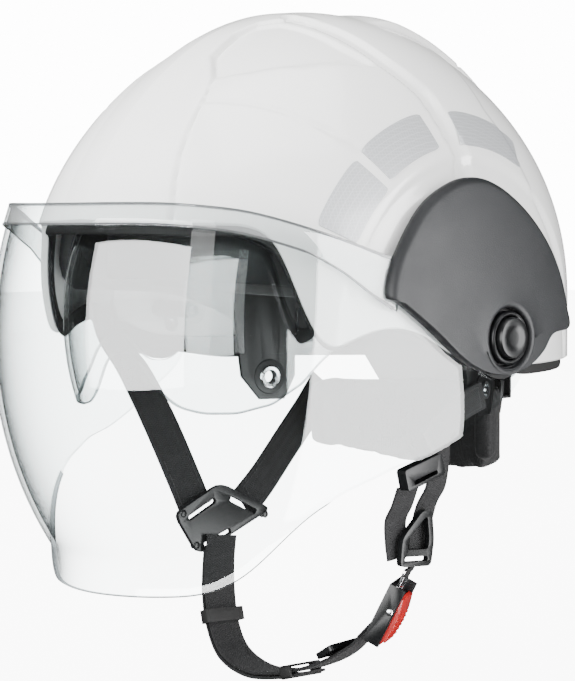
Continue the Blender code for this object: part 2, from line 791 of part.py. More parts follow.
def build_pivot(side):
    """Build one side's boss, screw, hub, cover, bezel, button and button spring."""
    name = "left" if side > 0 else "right"
    out = Vector((side, 0, 0))
    base = SHELL_HALF_WIDTH + SMALL_GAP
    boss_top = SHIELD_HALF_WIDTH + 0.0008
    pivot = mirrored((0, SHIELD_PIVOT_Y, SHIELD_PIVOT_Z), side)
    bore = SCREW_RADIUS + SMALL_GAP
    depth = boss_top - base
    lathe(
        f"pivot_boss_{name}",
        [
            (0, depth), (BOSS_RADIUS, depth), (BOSS_RADIUS, 0), (bore, 0),
            (bore, depth - 0.0012), (0, depth - 0.0012),
        ],
        pivot + out * base, out, BLACK_PLASTIC,
    )
    inner_wall = point_on_shell(SHIELD_PIVOT_Y, SHIELD_PIVOT_Z, SHELL_WALL).x - 0.0006
    head = 0.003
    length = base + depth - 0.0012 - SMALL_GAP - inner_wall
    lathe(
        f"pivot_screw_{name}",
        [
            (0, length), (SCREW_RADIUS, length), (SCREW_RADIUS, 0), (SCREW_HEAD_RADIUS, 0),
            (SCREW_HEAD_RADIUS, -head), (0.0022, -head), (0.0022, -head + 0.0016),
            (0, -head + 0.0016),
        ],
        pivot + out * inner_wall, out, STEEL, steps=16,
    )
    hub_low = base + 0.0005
    hub_depth = SHIELD_HALF_WIDTH - hub_low
    ring = BOSS_RADIUS + HUB_PLAY
    hub = lathe(
        f"shield_hub_{name}",
        [(ring, hub_depth), (HUB_RADIUS, hub_depth), (HUB_RADIUS, 0), (ring, 0)],
        pivot + out * hub_low, out, BLACK_PLASTIC, steps=32,
    )
    parent_to(shield_axis, hub)
    build_cover(side, name)
    bezel_low = SHIELD_HALF_WIDTH + COVER_CLEARANCE - 0.0002
    bezel_in, bezel_out = BUTTON_RADIUS + RUNNING_GAP, COVER_HOLE_RADIUS - 0.0014
    lathe(
        f"button_bezel_{name}",
        [
            (bezel_in, 0.0022), (bezel_in + 0.0012, 0.003), (bezel_out - 0.0008, 0.003),
            (bezel_out, 0.0022), (bezel_out, 0), (bezel_in, 0),
        ],
        pivot + out * bezel_low, out, BLACK_PLASTIC, steps=32,
    )
    button_low = boss_top + BUTTON_TRAVEL + SMALL_GAP
    well = 0.0072
    crown_wall = 0.0016
    button = lathe(
        f"shield_button_{name}",
        [
            (0, BUTTON_HEIGHT), (BUTTON_RADIUS - 0.001, BUTTON_HEIGHT),
            (BUTTON_RADIUS, BUTTON_HEIGHT - 0.001), (BUTTON_RADIUS, 0), (well, 0),
            (well, BUTTON_HEIGHT - crown_wall), (0, BUTTON_HEIGHT - crown_wall),
        ],
        pivot + out * button_low, out, BLACK_PLASTIC, steps=28,
    )
    parent_to(empty_at(f"button_axis_{name}", pivot + out * button_low), button)
    spring_low = boss_top + 0.0009
    spring_high = button_low + BUTTON_HEIGHT - crown_wall - BUTTON_TRAVEL - 0.0009
    build_spring(f"button_spring_{name}", pivot, out, spring_low, spring_high)


def build_spring(name, pivot, out, low, high):
    """Wind a helical spring between two distances along an axis."""
    turns, per_turn, coil = 2, 12, 0.0052
    curve = bpy.data.curves.new(name, "CURVE")
    curve.dimensions = "3D"
    curve.bevel_depth = 0.0004
    curve.bevel_resolution = 1
    curve.use_fill_caps = True
    spline = curve.splines.new("POLY")
    count = turns * per_turn
    spline.points.add(count)
    for k, point in enumerate(spline.points):
        about = FULL_TURN * k / per_turn
        along = low + (high - low) * k / count
        place = pivot + out * along + Vector((0, coil * math.cos(about), coil * math.sin(about)))
        point.co = (*place, 1)
    return add_object(name, curve, STEEL)


def cover_ring(outline, share, lift):
    """List a ring of the cover, between its outline and its round hole."""
    ring = []
    for y, z in outline:
        about = math.atan2(z - SHIELD_PIVOT_Z, y - SHIELD_PIVOT_Y)
        hole_y = SHIELD_PIVOT_Y + COVER_HOLE_RADIUS * math.cos(about)
        hole_z = SHIELD_PIVOT_Z + COVER_HOLE_RADIUS * math.sin(about)
        ring_y = hole_y + (y - hole_y) * share
        ring_z = hole_z + (z - hole_z) * share
        radius = math.hypot(ring_y - SHIELD_PIVOT_Y, ring_z - SHIELD_PIVOT_Z)
        ring.append(Vector((shield_side_x(radius) + lift, ring_y, ring_z)))
    return ring


def build_cover(side, name):
    """Build the domed side cover: a skirt, a rounded edge and a top with a round hole."""
    outline = [
        (point.x, point.y)
        for point in closed_spline([Vector(pair) for pair in COVER_OUTLINE], 40)
    ]
    top = COVER_CLEARANCE + COVER_WALL
    rings = [
        cover_ring(outline, 1.0, top - COVER_SKIRT),
        cover_ring(outline, 0.995, top - 0.0014),
        cover_ring(outline, 0.955, top),
        cover_ring(outline, 0.62, top),
        cover_ring(outline, 0.28, top),
        cover_ring(outline, 0.0, top),
    ]
    rows = [[mirrored(point, side) for point in ring] for ring in rings]
    return sheet(
        f"side_cover_{name}", rows, COVER_WALL * 0.8, HEAD_MIDDLE, BLACK_GRAIN, closed=True
    )


def closed_spline(controls, count):
    """Sample a closed smooth curve through control points at even shares of its points."""
    total = len(controls)
    sampled = []
    for i in range(count):
        position = i / count * total
        k = int(position)
        t = position - k
        before, start = controls[k - 1], controls[k]
        end, after = controls[(k + 1) % total], controls[(k + 2) % total]
        leave, arrive = (end - before) / 2, (after - start) / 2
        sampled.append(
            start * (2 * t**3 - 3 * t**2 + 1)
            + leave * (t**3 - 2 * t**2 + t)
            + end * (-2 * t**3 + 3 * t**2)
            + arrive * (t**3 - t**2)
        )
    return sampled


parent_to(shield_axis, build_face_shield())
for side_sign in (1, -1):
    build_pivot(side_sign)

# ---- Eye shield ---------------------------------------------------------------------------------

eye_axis = empty_at("eye_shield_axis", Vector((0, EYE_PIVOT_Y, EYE_PIVOT_Z)))


def build_eye_shield():
    """Build the clear inner eye shield with its nose arch."""
    end = math.asin(0.963**1.5)
    half = [end * (k / 13) for k in range(14)]
    turns = [-turn for turn in half[:0:-1]] + half
    rows = []
    steps = 6
    for k in range(steps + 1):
        row = []
        for turn in turns:
            x = math.copysign(EYE_HALF_WIDTH * math.sin(abs(turn)) ** (2 / 3), turn)
            radius = eye_surface_radius(x)
            low = interpolate(EYE_BOTTOM, abs(x))
            high = interpolate(EYE_TOP, abs(x))
            height = low + (high - low) * k / steps
            rise = height - EYE_PIVOT_Z
            row.append(Vector((x, EYE_PIVOT_Y - math.sqrt(radius**2 - rise**2), height)))
        rows.append(row)
    return sheet("eye_shield", rows, EYE_WALL, HEAD_MIDDLE, CLEAR_SHIELD)


def build_eye_arm(side):
    """Build one arm of the eye shield and the post that it turns on."""
    name = "left" if side > 0 else "right"
    inner = EYE_HALF_WIDTH - 0.0025
    reach, half_height, hub = EYE_ARM_REACH, EYE_ARM_HALF_HEIGHT, 0.0078
    outline = arc((0, 0), hub, -130, 130, 10)
    outline += arc((-reach, 0.001), half_height, 100, 260, 6)
    hole = arc((0, 0), EYE_PIN_RADIUS + RUNNING_GAP, 0, 337.5, 15)
    matrix = Matrix.Translation(
        mirrored((inner + EYE_ARM_WALL / 2, EYE_PIVOT_Y, EYE_PIVOT_Z), side)
    ) @ Matrix(((0, 0, 1, 0), (1, 0, 0, 0), (0, 1, 0, 0), (0, 0, 0, 1)))
    arm = plate(f"eye_shield_arm_{name}", [outline, hole], EYE_ARM_WALL, matrix, CLEAR_SHIELD)
    out = Vector((side, 0, 0))
    shoulder = inner + EYE_ARM_WALL + SMALL_GAP
    wall = point_on_shell(EYE_PIVOT_Y, EYE_PIVOT_Z, SHELL_WALL).x - 0.0007
    lathe(
        f"eye_shield_post_{name}",
        [
            (0, 0), (EYE_POST_RADIUS, 0), (EYE_POST_RADIUS, shoulder - wall),
            (EYE_PIN_RADIUS, shoulder - wall), (EYE_PIN_RADIUS, inner - 0.0008 - wall),
            (0, inner - 0.0008 - wall),
        ],
        mirrored((wall, EYE_PIVOT_Y, EYE_PIVOT_Z), side), out, BLACK_PLASTIC, steps=16,
    )
    return arm


parent_to(eye_axis, build_eye_shield(), build_eye_arm(1), build_eye_arm(-1))

# ---- Headband, cradle and pads ------------------------------------------------------------------


def ring_rows(half_width, half_length, angles, heights):
    """List rows of points round the head at several heights, each a function of the angle."""
    return [
        [ring_point(half_width, half_length, angle, height(angle)) for angle in angles]
        for height in heights
    ]


def build_headband():
    """Build the band round the head, open at the nape where the rear yoke takes over."""
    angles = [math.radians(-150 + 300 * k / 30) for k in range(31)]
    rows = ring_rows(
        HEADBAND_HALF_WIDTH, HEADBAND_HALF_LENGTH, angles,
        (headband_height, lambda angle: headband_height(angle) + HEADBAND_HEIGHT),
    )
    return sheet("headband", rows, HEADBAND_WALL, HEAD_MIDDLE, BLACK_PLASTIC, offset=1.0)


def build_brow_pad():
    """Build the padded sweatband inside the front of the headband."""
    angles = [math.radians(-62 + 124 * k / 14) for k in range(15)]
    inset = SMALL_GAP
    rows = ring_rows(
        HEADBAND_HALF_WIDTH - inset, HEADBAND_HALF_LENGTH - inset, angles,
        (lambda angle: headband_height(angle) + 0.001,
         lambda angle: headband_height(angle) + HEADBAND_HEIGHT / 2,
         lambda angle: headband_height(angle) + HEADBAND_HEIGHT - 0.001),
    )
    return sheet("brow_pad", rows, PAD_THICKNESS, HEAD_MIDDLE, BLACK_LEATHER)


def build_cradle():
    """Build the two crossed cradle straps over the head and the pad under their crossing."""
    base, side_lift, front_lift = 0.040, 0.125, 0.1275
    side_span = HEADBAND_HALF_WIDTH - 0.0012
    front_span = HEADBAND_HALF_LENGTH - 0.0012
    for name, half_span, lift, axis in (
        ("cradle_strap_side", side_span, side_lift, 0),
        ("cradle_strap_front", front_span, front_lift, 1),
    ):
        rows = []
        for k in range(19):
            turn = math.radians(8 + 164 * k / 18)
            along = half_span * math.cos(turn)
            height = base + (lift - base) * math.sin(turn)
            middle = Vector((along, 0.004, height)) if axis == 0 else Vector((0, along, height))
            side = Vector((0, 1, 0)) if axis == 0 else Vector((1, 0, 0))
            rows.append([middle - side * 0.009, middle + side * 0.009])
        obj = add_bmesh(name, surface(rows, HEAD_MIDDLE), BLACK_WEBBING)
        solidify = obj.modifiers.new("thickness", "SOLIDIFY")
        solidify.thickness = CRADLE_WALL
        solidify.offset = -1.0
    # The pad's top bends a little more than the straps over it.
    bend_across = 1.86 * side_span**2 / (side_lift - base)
    bend_along = 1.88 * front_span**2 / (front_lift - base)
    rings = []
    for share in (1.0, 0.66, 0.33):
        ring = []
        for k in range(20):
            about = FULL_TURN * k / 20
            x = 0.030 * share * math.cos(about)
            y = 0.038 * share * math.sin(about) + 0.004
            ring.append(Vector((x, y, 0.1218 - x * x / bend_across - y * y / bend_along)))
        rings.append(ring)
    return sheet(
        "crown_pad", rings, PAD_THICKNESS, HEAD_MIDDLE, BLACK_LEATHER, closed=True,
        pole=Vector((0, 0.004, 0.1218)),
    )


def build_harness_plate(side):
    """Build the plate that hangs behind the ear, with an eyelet near its lower end."""
    name = "left" if side > 0 else "right"
    rows = []
    for k in range(8):
        share = k / 7
        height = -0.042 + 0.090 * share
        squeeze = 0.010 * (1 - smooth_step(0.0, 0.16, share))
        front = 0.036 - 0.010 * share + squeeze
        rear = PLATE_REAR - squeeze * 0.6
        row = []
        for j in range(6):
            y = front + (rear - front) * j / 5
            angle = math.acos(-y / PLATE_HALF_LENGTH)
            row.append(
                mirrored(ring_point(PLATE_HALF_WIDTH, PLATE_HALF_LENGTH, angle, height), side)
            )
        rows.append(row)
    obj = sheet(f"harness_plate_{name}", rows, PLATE_WALL, HEAD_MIDDLE, BLACK_PLASTIC)
    cutter = solid_rod(
        EYELET_RADIUS,
        mirrored((PLATE_HALF_WIDTH - 0.0275, EYELET_Y, -0.0295), side),
        mirrored((PLATE_HALF_WIDTH + 0.0125, EYELET_Y, -0.0295), side),
        f"eyelet_{name}",
        collection=CUTTERS,
        segments=14,
    )
    combine(obj, hide_helper(cutter), "DIFFERENCE")
    return obj


def yoke_bottom(angle):
    """Give the height of the yoke's lower edge, which drops behind the nape."""
    from_rear = abs(math.degrees(angle) - 180)
    return -0.048 + 0.034 * smooth_step(24, 40, from_rear)


def build_yoke():
    """Build the yoke behind the head, between the two harness plates."""
    start = math.degrees(math.acos(-(PLATE_REAR + 0.0005) / PLATE_HALF_LENGTH)) + 0.3
    angles = [math.radians(start + (360 - 2 * start) * k / 22) for k in range(23)]
    rows = ring_rows(
        PLATE_HALF_WIDTH, PLATE_HALF_LENGTH, angles,
        (yoke_bottom, lambda angle: (yoke_bottom(angle) + 0.008) / 2, lambda angle: 0.008),
    )
    return sheet("nape_yoke", rows, PLATE_WALL, HEAD_MIDDLE, BLACK_PLASTIC)


def build_nape_pad():
    """Build the padded roll in front of the yoke, against the nape."""
    angles = [math.radians(127 + 106 * k / 18) for k in range(19)]
    inset = PLATE_WALL + 0.0006
    rows = []
    for share in (0.0, 0.33, 0.67, 1.0):
        row = []
        for angle in angles:
            side = math.sin(angle) ** 2
            low = -0.077 + 0.018 * side
            high = -0.031 - 0.002 * side
            row.append(
                ring_point(
                    PLATE_HALF_WIDTH - inset, PLATE_HALF_LENGTH - inset, angle,
                    low + (high - low) * share,
                )
            )
        rows.append(row)
    return sheet("nape_pad", rows, 0.012, HEAD_MIDDLE, BLACK_LEATHER)


build_headband()
build_brow_pad()
build_cradle()
for side_sign in (1, -1):
    build_harness_plate(side_sign)
build_yoke()
build_nape_pad()

# ---- Size adjuster ------------------------------------------------------------------------------

HOUSING_FRONT = PLATE_HALF_LENGTH + SMALL_GAP + 0.0004
HOUSING_DEPTH = 0.0085
HOUSING_WALL = 0.0018
HOUSING_HALF_WIDTH = 0.027
HOUSING_HALF_HEIGHT = 0.0130
ratchet_axis = empty_at("ratchet_axis", Vector((0, HOUSING_FRONT + HOUSING_DEPTH, RATCHET_Z)))


def build_housing():
    """Build the adjuster's housing, a channel open towards the yoke with a bore for the knob."""
    outer, inner = HOUSING_HALF_HEIGHT, HOUSING_HALF_HEIGHT - HOUSING_WALL
    depth = HOUSING_DEPTH
    profile = [
        (0, -outer), (depth, -outer), (depth, outer), (0, outer), (0, inner),
        (depth - HOUSING_WALL, inner), (depth - HOUSING_WALL, -inner), (0, -inner),
    ]
    matrix = Matrix.Translation((0, HOUSING_FRONT, RATCHET_Z)) @ Matrix(
        ((0, 0, 1, 0), (1, 0, 0, 0), (0, 1, 0, 0), (0, 0, 0, 1))
    )
    housing = as_mesh(
        plate("ratchet_housing", [profile], 2 * HOUSING_HALF_WIDTH, matrix, BLACK_PLASTIC)
    )
    cutter = solid_rod(
        0.0030,
        (0, HOUSING_FRONT + depth - HOUSING_WALL - 0.002, RATCHET_Z),
        (0, HOUSING_FRONT + depth + 0.002, RATCHET_Z),
        "shaft_bore",
        collection=CUTTERS,
        segments=14,
    )
    return combine(housing, hide_helper(cutter), "DIFFERENCE")


def toothed_circle(radius, depth, teeth):
    """List the outline of a wheel with plain teeth."""
    points = []
    for k in range(teeth * 4):
        about = FULL_TURN * (k + 0.5) / (teeth * 4)
        reach = radius if k % 4 < 2 else radius - depth
        points.append((reach * math.cos(about), reach * math.sin(about)))
    return points


def facing_rear(y, z=RATCHET_Z, x=0.0):
    """Give a frame whose Z runs along +Y, for plates that lie behind the head."""
    return Matrix.Translation((x, y, z)) @ Matrix(
        ((-1, 0, 0, 0), (0, 0, 1, 0), (0, 1, 0, 0), (0, 0, 0, 1))
    )


def build_pinion_and_knob():
    """Build the pinion with its shaft, and the ribbed knob pressed on that shaft."""
    face = HOUSING_FRONT + 0.0012
    width = 0.0045
    pinion = as_mesh(
        plate(
            "ratchet_pinion", [toothed_circle(PINION_RADIUS, 0.0012, 9)], width,
            facing_rear(face + width / 2), BLACK_PLASTIC,
        )
    )
    knob_front = HOUSING_FRONT + HOUSING_DEPTH + 0.0005
    shaft = solid_rod(
        0.0024, (0, face + width / 2, RATCHET_Z), (0, knob_front + 0.005, RATCHET_Z),
        "pinion_shaft", collection=CUTTERS, segments=14,
    )
    combine(pinion, hide_helper(shaft), "UNION")
    knob = as_mesh(
        plate(
            "ratchet_knob", [toothed_circle(KNOB_RADIUS, 0.0009, 20)], KNOB_HEIGHT,
            facing_rear(knob_front + KNOB_HEIGHT / 2), BLACK_RUBBER,
        )
    )
    seat = solid_rod(
        0.0024 + SMALL_GAP, (0, knob_front - 0.001, RATCHET_Z),
        (0, knob_front + 0.005 + SMALL_GAP, RATCHET_Z), "knob_seat", collection=CUTTERS,
        segments=14,
    )
    combine(knob, hide_helper(seat), "DIFFERENCE")
    parent_to(ratchet_axis, pinion, knob)


def build_rack(name, side):
    """Build one toothed rack of the headband's rear ends, above or below the pinion."""
    pitch = FULL_TURN * PINION_RADIUS / 9
    tooth = 0.0012
    count = 17
    start, end = -0.010, -0.010 + pitch * count
    outline = [(start, RACK_HEIGHT - tooth), (end, RACK_HEIGHT - tooth)]
    for k in reversed(range(count)):
        left = start + pitch * k
        outline += [(left + pitch * 0.75, 0), (left + pitch * 0.70, -tooth)]
        outline += [(left + pitch * 0.30, -tooth), (left + pitch * 0.25, 0)]
    outline.append((start, 0))
    centre = PINION_RADIUS + 0.0002 + tooth
    matrix = Matrix.Translation(
        (0, HOUSING_FRONT + 0.0016 + RACK_WALL / 2, RATCHET_Z + side * centre)
    ) @ Matrix(((side, 0, 0, 0), (0, 0, 1, 0), (0, side, 0, 0), (0, 0, 0, 1)))
    return plate(name, [outline], RACK_WALL, matrix, BLACK_PLASTIC)


build_housing()
build_pinion_and_knob()
build_rack("ratchet_rack_left", 1)
build_rack("ratchet_rack_right", -1)

# ---- Chin harness -------------------------------------------------------------------------------

BUCKLE_MIDDLE = on_head((0.0610, 0.0030, -0.1385))
BUCKLE_UP = Vector((0.42, 0.18, 0.89)).normalized()
BUCKLE_FACE = Vector((0.772, 0.441, -0.375)).normalized()
LEVER_PIN_ALONG = 0.0030
LEVER_PIN_OUT = 0.0016
LEVER_PIN_RADIUS = 0.0012


def build_right_straps():
    """Build the right side's two straps and the buckle plate where they meet."""
    webbing(
        "front_strap_right",
        [
            ((-0.1020, -0.0480, 0.0120), (0.2, -0.98, 0.0)),
            ((-0.0950, -0.0470, -0.0060), (0.15, -0.98, 0.0)),
            ((-0.0840, -0.0410, -0.0230), (0.0, -0.99, -0.1)),
            ((-0.0750, -0.0310, -0.0500), (-0.1, -0.97, -0.2)),
            ((-0.0665, -0.0215, -0.0800), (-0.1, -0.96, -0.25)),
            ((-0.0632, -0.0160, -0.0960), (-0.1, -0.96, -0.25)),
        ],
        BLACK_WEBBING,
    )
    webbing(
        "rear_strap_right",
        [
            ((-0.0745, 0.0900, -0.0340), (0.0, -0.70, 0.71)),
            ((-0.0765, 0.0790, -0.0490), (0.0, -0.64, 0.77)),
            ((-0.0725, 0.0580, -0.0665), (0.0, -0.60, 0.80)),
            ((-0.0655, 0.0340, -0.0840), (0.0, -0.60, 0.80)),
            ((-0.0634, 0.0180, -0.0960), (0.0, -0.60, 0.80)),
        ],
        BLACK_WEBBING,
    )
    corners = [(0.035, 0.006), (0.002, 0.0185), (-0.034, 0.0), (0.0196, -0.018)]
    slots = [
        round_corners([(0.026, 0.0035), (0.007, 0.0110), (0.006, 0.0085), (0.025, 0.0010)], 0.001),
        round_corners(
            [(-0.005, 0.0105), (-0.023, 0.0010), (-0.0215, -0.0015), (-0.0035, 0.0080)], 0.001
        ),
        round_corners(
            [(0.0160, -0.0120), (-0.0030, -0.0065), (-0.0040, -0.0090), (0.0150, -0.0145)], 0.001
        ),
    ]
    plate(
        "y_buckle_right", [round_corners(corners, 0.006), *slots], 0.0026,
        frame_at(on_head((-0.0590, 0.0, -0.1010)), (0.0, -0.05, 1.0), (-1.0, 0.0, 0.0)), BLACK_PLASTIC,
    )


def on_strap(frame, lift=0.0):
    """Give a frame on a strap: X across it, Z off its face, at a height over its middle."""
    place, ahead, across = frame
    face = ahead.cross(across).normalized()
    matrix = Matrix((across, face.cross(across), face)).transposed().to_4x4()
    matrix.translation = place + face * lift
    return matrix


def build_chin_strap():
    """Build the strap under the chin with its two keepers and its ladder slider."""
    stations = [
        ((-0.0550, -0.0050, -0.1100), (0.0, 0.98, 0.2)),
        ((-0.0552, -0.0065, -0.1240), (0.0, 0.98, 0.1)),
        ((-0.0535, -0.0080, -0.1380), (0.0, 1.0, 0.05)),
        ((-0.0490, -0.0090, -0.1560), (0.0, 1.0, 0.0)),
        ((-0.0410, -0.0080, -0.1700), (0.0, 1.0, 0.0)),
        ((-0.0250, -0.0050, -0.1775), (0.0, 1.0, 0.0)),
        ((-0.0050, -0.0010, -0.1765), (0.0, 1.0, 0.0)),
        ((0.0150, 0.0010, -0.1705), (-0.05, 1.0, 0.0)),
        ((0.0300, 0.0015, -0.1635), (-0.15, 0.98, 0.0)),
        ((0.0425, 0.0005, -0.1550), (-0.35, 0.93, 0.0)),
        ((0.0506, -0.0018, -0.1467), (-0.48, 0.87, 0.0)),
    ]
    samples = 40
    webbing("chin_strap", stations, BLACK_WEBBING, samples=samples)
    frames = strap_frames(stations, samples)
    height, gap = 0.0072, 0.0046
    ring = [
        rounded_rectangle(WEBBING_WIDTH + 0.0048, height, 0.0018),
        rounded_rectangle(WEBBING_WIDTH + 0.0016, gap, 0.0008),
    ]
    turn_upright = Matrix.Rotation(HALF_TURN / 2, 4, "X")
    for name, sample in (("strap_keeper_upper", 11), ("strap_keeper_lower", 25)):
        plate(name, ring, 0.0070, on_strap(frames[sample]) @ turn_upright, BLACK_RUBBER)
    slider = [
        rounded_rectangle(WEBBING_WIDTH + 0.0060, 0.0130, 0.0020),
        rounded_rectangle(WEBBING_WIDTH, 0.0028, 0.0008, 2, (0.0, 0.0030)),
        rounded_rectangle(WEBBING_WIDTH, 0.0028, 0.0008, 2, (0.0, -0.0030)),
    ]
    plate("ladder_slider", slider, 0.0030, on_strap(frames[32], 0.0035), BLACK_PLASTIC)


def buckle_frame(along=0.0, out=0.0):
    """Give the buckle's frame: X across, Y along its length, Z out from the wearer's jaw."""
    matrix = frame_at(BUCKLE_MIDDLE, BUCKLE_UP, BUCKLE_FACE)
    return matrix @ Matrix.Translation((0, along, out))


def buckle_side_frame():
    """Give the buckle's frame seen from its side: X along its length, Y out, Z across."""
    return buckle_frame() @ Matrix(((0, 0, 1, 0), (1, 0, 0, 0), (0, 1, 0, 0), (0, 0, 0, 1)))


def build_buckle():
    """Build the quick-release buckle: a channel body, a lever on its pin, and the tongue."""
    half, cheek, floor, base, rim = BUCKLE_WIDTH / 2, 0.0022, -0.0020, -0.0044, 0.0042
    channel = [
        (-half, base), (half, base), (half, rim), (half - cheek, rim), (half - cheek, floor),
        (cheek - half, floor), (cheek - half, rim), (-half, rim),
    ]
    lengthwise = buckle_frame() @ Matrix(
        ((-1, 0, 0, 0), (0, 0, 1, 0), (0, 1, 0, 0), (0, 0, 0, 1))
    )
    body = as_mesh(plate("buckle_body", [channel], BUCKLE_LENGTH, lengthwise, BLACK_PLASTIC))
    place = buckle_frame(LEVER_PIN_ALONG, LEVER_PIN_OUT)
    bore = solid_rod(
        LEVER_PIN_RADIUS + 0.0003, place @ Vector((-half - 0.001, 0, 0)),
        place @ Vector((half + 0.001, 0, 0)), "lever_pin_bore", collection=CUTTERS, segments=14,
    )
    combine(body, hide_helper(bore), "DIFFERENCE")
    lever_outline = [
        (-0.0152, 0.0012), (-0.0020, 0.0006), (0.0008, -0.0006), (0.0030, -0.0011),
        (0.0052, -0.0006), (0.0065, 0.0014), (0.0112, 0.0026), (0.0110, 0.0048),
        (0.0040, 0.0062), (-0.0040, 0.0066), (-0.0120, 0.0058), (-0.0152, 0.0042),
    ]
    pin_hole = arc((LEVER_PIN_ALONG, LEVER_PIN_OUT), LEVER_PIN_RADIUS + 0.0003, 0, 330, 11)
    lever = plate(
        "release_lever", [lever_outline, pin_hole], BUCKLE_WIDTH - 2 * cheek - 0.0008,
        buckle_side_frame(), RED_PLASTIC,
    )
    solid_rod(
        LEVER_PIN_RADIUS, place @ Vector((-half, 0, 0)), place @ Vector((half, 0, 0)),
        "lever_pin", STEEL, segments=14,
    )
    parent_to(empty_at("release_lever_axis", place.translation), lever)
    tongue = [
        round_corners(
            [(-0.0065, -0.0065), (0.0065, -0.0065), (0.0065, 0.0066), (0.0095, 0.0066),
             (0.0095, 0.0100), (-0.0095, 0.0100), (-0.0095, 0.0066), (-0.0065, 0.0066)],
            0.0010, 2,
        ),
        rounded_rectangle(0.0070, 0.0035, 0.0010, 2, (0.0, -0.0025)),
    ]
    plate("buckle_tongue", tongue, 0.0014, buckle_frame(0.0150, -0.0010), STEEL)


def build_left_straps():
    """Build the left side's straps, their divider frame and their clip."""
    frame = [
        round_corners(
            [(-0.0115, -0.0130), (0.0105, -0.0130), (0.0115, 0.0), (0.0085, 0.0150),
             (0.0020, 0.0150), (-0.0112, 0.0015)],
            0.0030,
        ),
        rounded_rectangle(0.0165, 0.0026, 0.0010, 2, (-0.0005, -0.0092)),
        round_corners(
            [(-0.0075, -0.0045), (0.0075, -0.0045), (0.0080, 0.0005), (0.0055, 0.0115),
             (0.0040, 0.0115), (-0.0075, 0.0005)],
            0.0015,
        ),
    ]
    plate(
        "y_divider_left", frame, 0.0032,
        frame_at(on_head((0.0735, 0.0085, -0.1023)), (0.05, 0.05, 1.0), (1.0, 0.0, 0.0)), BLACK_PLASTIC,
    )
    webbing(
        "front_strap_left",
        [
            ((0.0800, -0.0045, -0.0765), (0.05, 0.99, 0.0)),
            ((0.0755, -0.0040, -0.0840), (0.05, 0.99, 0.0)),
            ((0.0702, -0.0030, -0.0920), (0.05, 0.99, 0.0)),
            ((0.0690, -0.0015, -0.1030), (0.05, 0.99, 0.0)),
        ],
        BLACK_WEBBING, width=0.0145, samples=8,
    )
    webbing(
        "rear_strap_left",
        [
            ((0.0800, 0.0185, -0.0500), (0.0, 0.99, 0.1)),
            ((0.0800, 0.0180, -0.0640), (0.0, 0.99, 0.1)),
            ((0.0775, 0.0180, -0.0760), (0.0, 1.0, 0.0)),
            ((0.0712, 0.0180, -0.0860), (0.0, 1.0, 0.0)),
            ((0.0690, 0.0150, -0.1020), (0.0, 1.0, 0.0)),
        ],
        BLACK_WEBBING, width=0.0145, samples=12,
    )
    plate(
        "strap_clip_left",
        [
            rounded_rectangle(0.0270, 0.0110, 0.0016),
            rounded_rectangle(0.0170, 0.0020, 0.0007, 2, (0.0, -0.0026)),
        ],
        0.0062, frame_at(on_head((0.0855, -0.0010, -0.0668)), (0.0, -0.26, 0.96), (1.0, 0.0, 0.0)),
        BLACK_PLASTIC,
    )
    webbing(
        "hanger_strap_left",
        [
            ((0.0860, 0.0030, -0.0535), (0.0, 0.96, 0.26)),
            ((0.0866, 0.0120, -0.0455), (0.0, 0.85, -0.53)),
            ((0.0868, 0.0280, -0.0360), (0.0, 0.50, -0.86)),
            ((0.0856, 0.0440, -0.0310), (0.0, 0.30, -0.95)),
        ],
        BLACK_WEBBING, width=0.0145, samples=9,
    )


build_right_straps()
build_chin_strap()
build_buckle()
build_left_straps()
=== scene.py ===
import json
import logging
import math
from collections.abc import Sequence
from dataclasses import dataclass, field
from enum import Enum

import bmesh
import bpy
import numpy as np
from mathutils import Matrix, Vector


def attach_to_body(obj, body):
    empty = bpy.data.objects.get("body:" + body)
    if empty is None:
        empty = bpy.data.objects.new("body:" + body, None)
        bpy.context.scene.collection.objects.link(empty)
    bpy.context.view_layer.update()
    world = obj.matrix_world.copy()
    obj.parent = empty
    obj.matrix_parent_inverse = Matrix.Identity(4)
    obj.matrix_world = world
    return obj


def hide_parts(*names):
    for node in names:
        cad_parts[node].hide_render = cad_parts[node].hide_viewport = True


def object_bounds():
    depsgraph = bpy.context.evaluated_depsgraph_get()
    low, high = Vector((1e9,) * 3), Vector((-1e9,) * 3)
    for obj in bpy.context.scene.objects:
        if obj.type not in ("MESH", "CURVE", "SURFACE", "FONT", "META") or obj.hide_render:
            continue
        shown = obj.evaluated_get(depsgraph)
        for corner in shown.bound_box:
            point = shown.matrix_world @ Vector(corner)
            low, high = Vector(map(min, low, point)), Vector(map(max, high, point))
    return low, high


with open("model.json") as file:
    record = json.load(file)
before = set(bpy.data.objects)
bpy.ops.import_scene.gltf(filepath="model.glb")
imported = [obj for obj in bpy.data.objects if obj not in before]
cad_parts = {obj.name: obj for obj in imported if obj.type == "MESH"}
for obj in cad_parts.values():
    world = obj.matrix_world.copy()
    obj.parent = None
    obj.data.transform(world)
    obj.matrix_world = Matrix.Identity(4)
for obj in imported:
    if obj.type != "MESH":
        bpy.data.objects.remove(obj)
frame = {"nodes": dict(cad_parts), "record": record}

CAD_LOW, CAD_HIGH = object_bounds()
LOG = logging.getLogger("rescue_helmet")
MM = 0.001
NODES: dict[str, bpy.types.Object] = frame["nodes"]
RECORD: dict = frame["record"]
BODY_OF: dict[str, str] = {
    node: body for body, nodes in RECORD["behaviour"]["bodies"].items() for node in nodes
}
SLOT_OF: dict[str, str] = {entry["node"]: entry["material_slot"] for entry in RECORD["subparts"]}
Table = tuple[tuple[float, ...], ...]

# ---- Limits of the mesh work ---------------------------------------------------------------------

MERGE_METRES = 1e-6
ON_AXIS = 1e-6
LATHE_STEPS = 64
LATHE_SHARP_DEGREES = 32.0
ROUND_FROM_DEGREES = 38
FITTING_SHARP_DEGREES = 42
CLOTH_STEPS = 20
HELD_FROM = 0.992

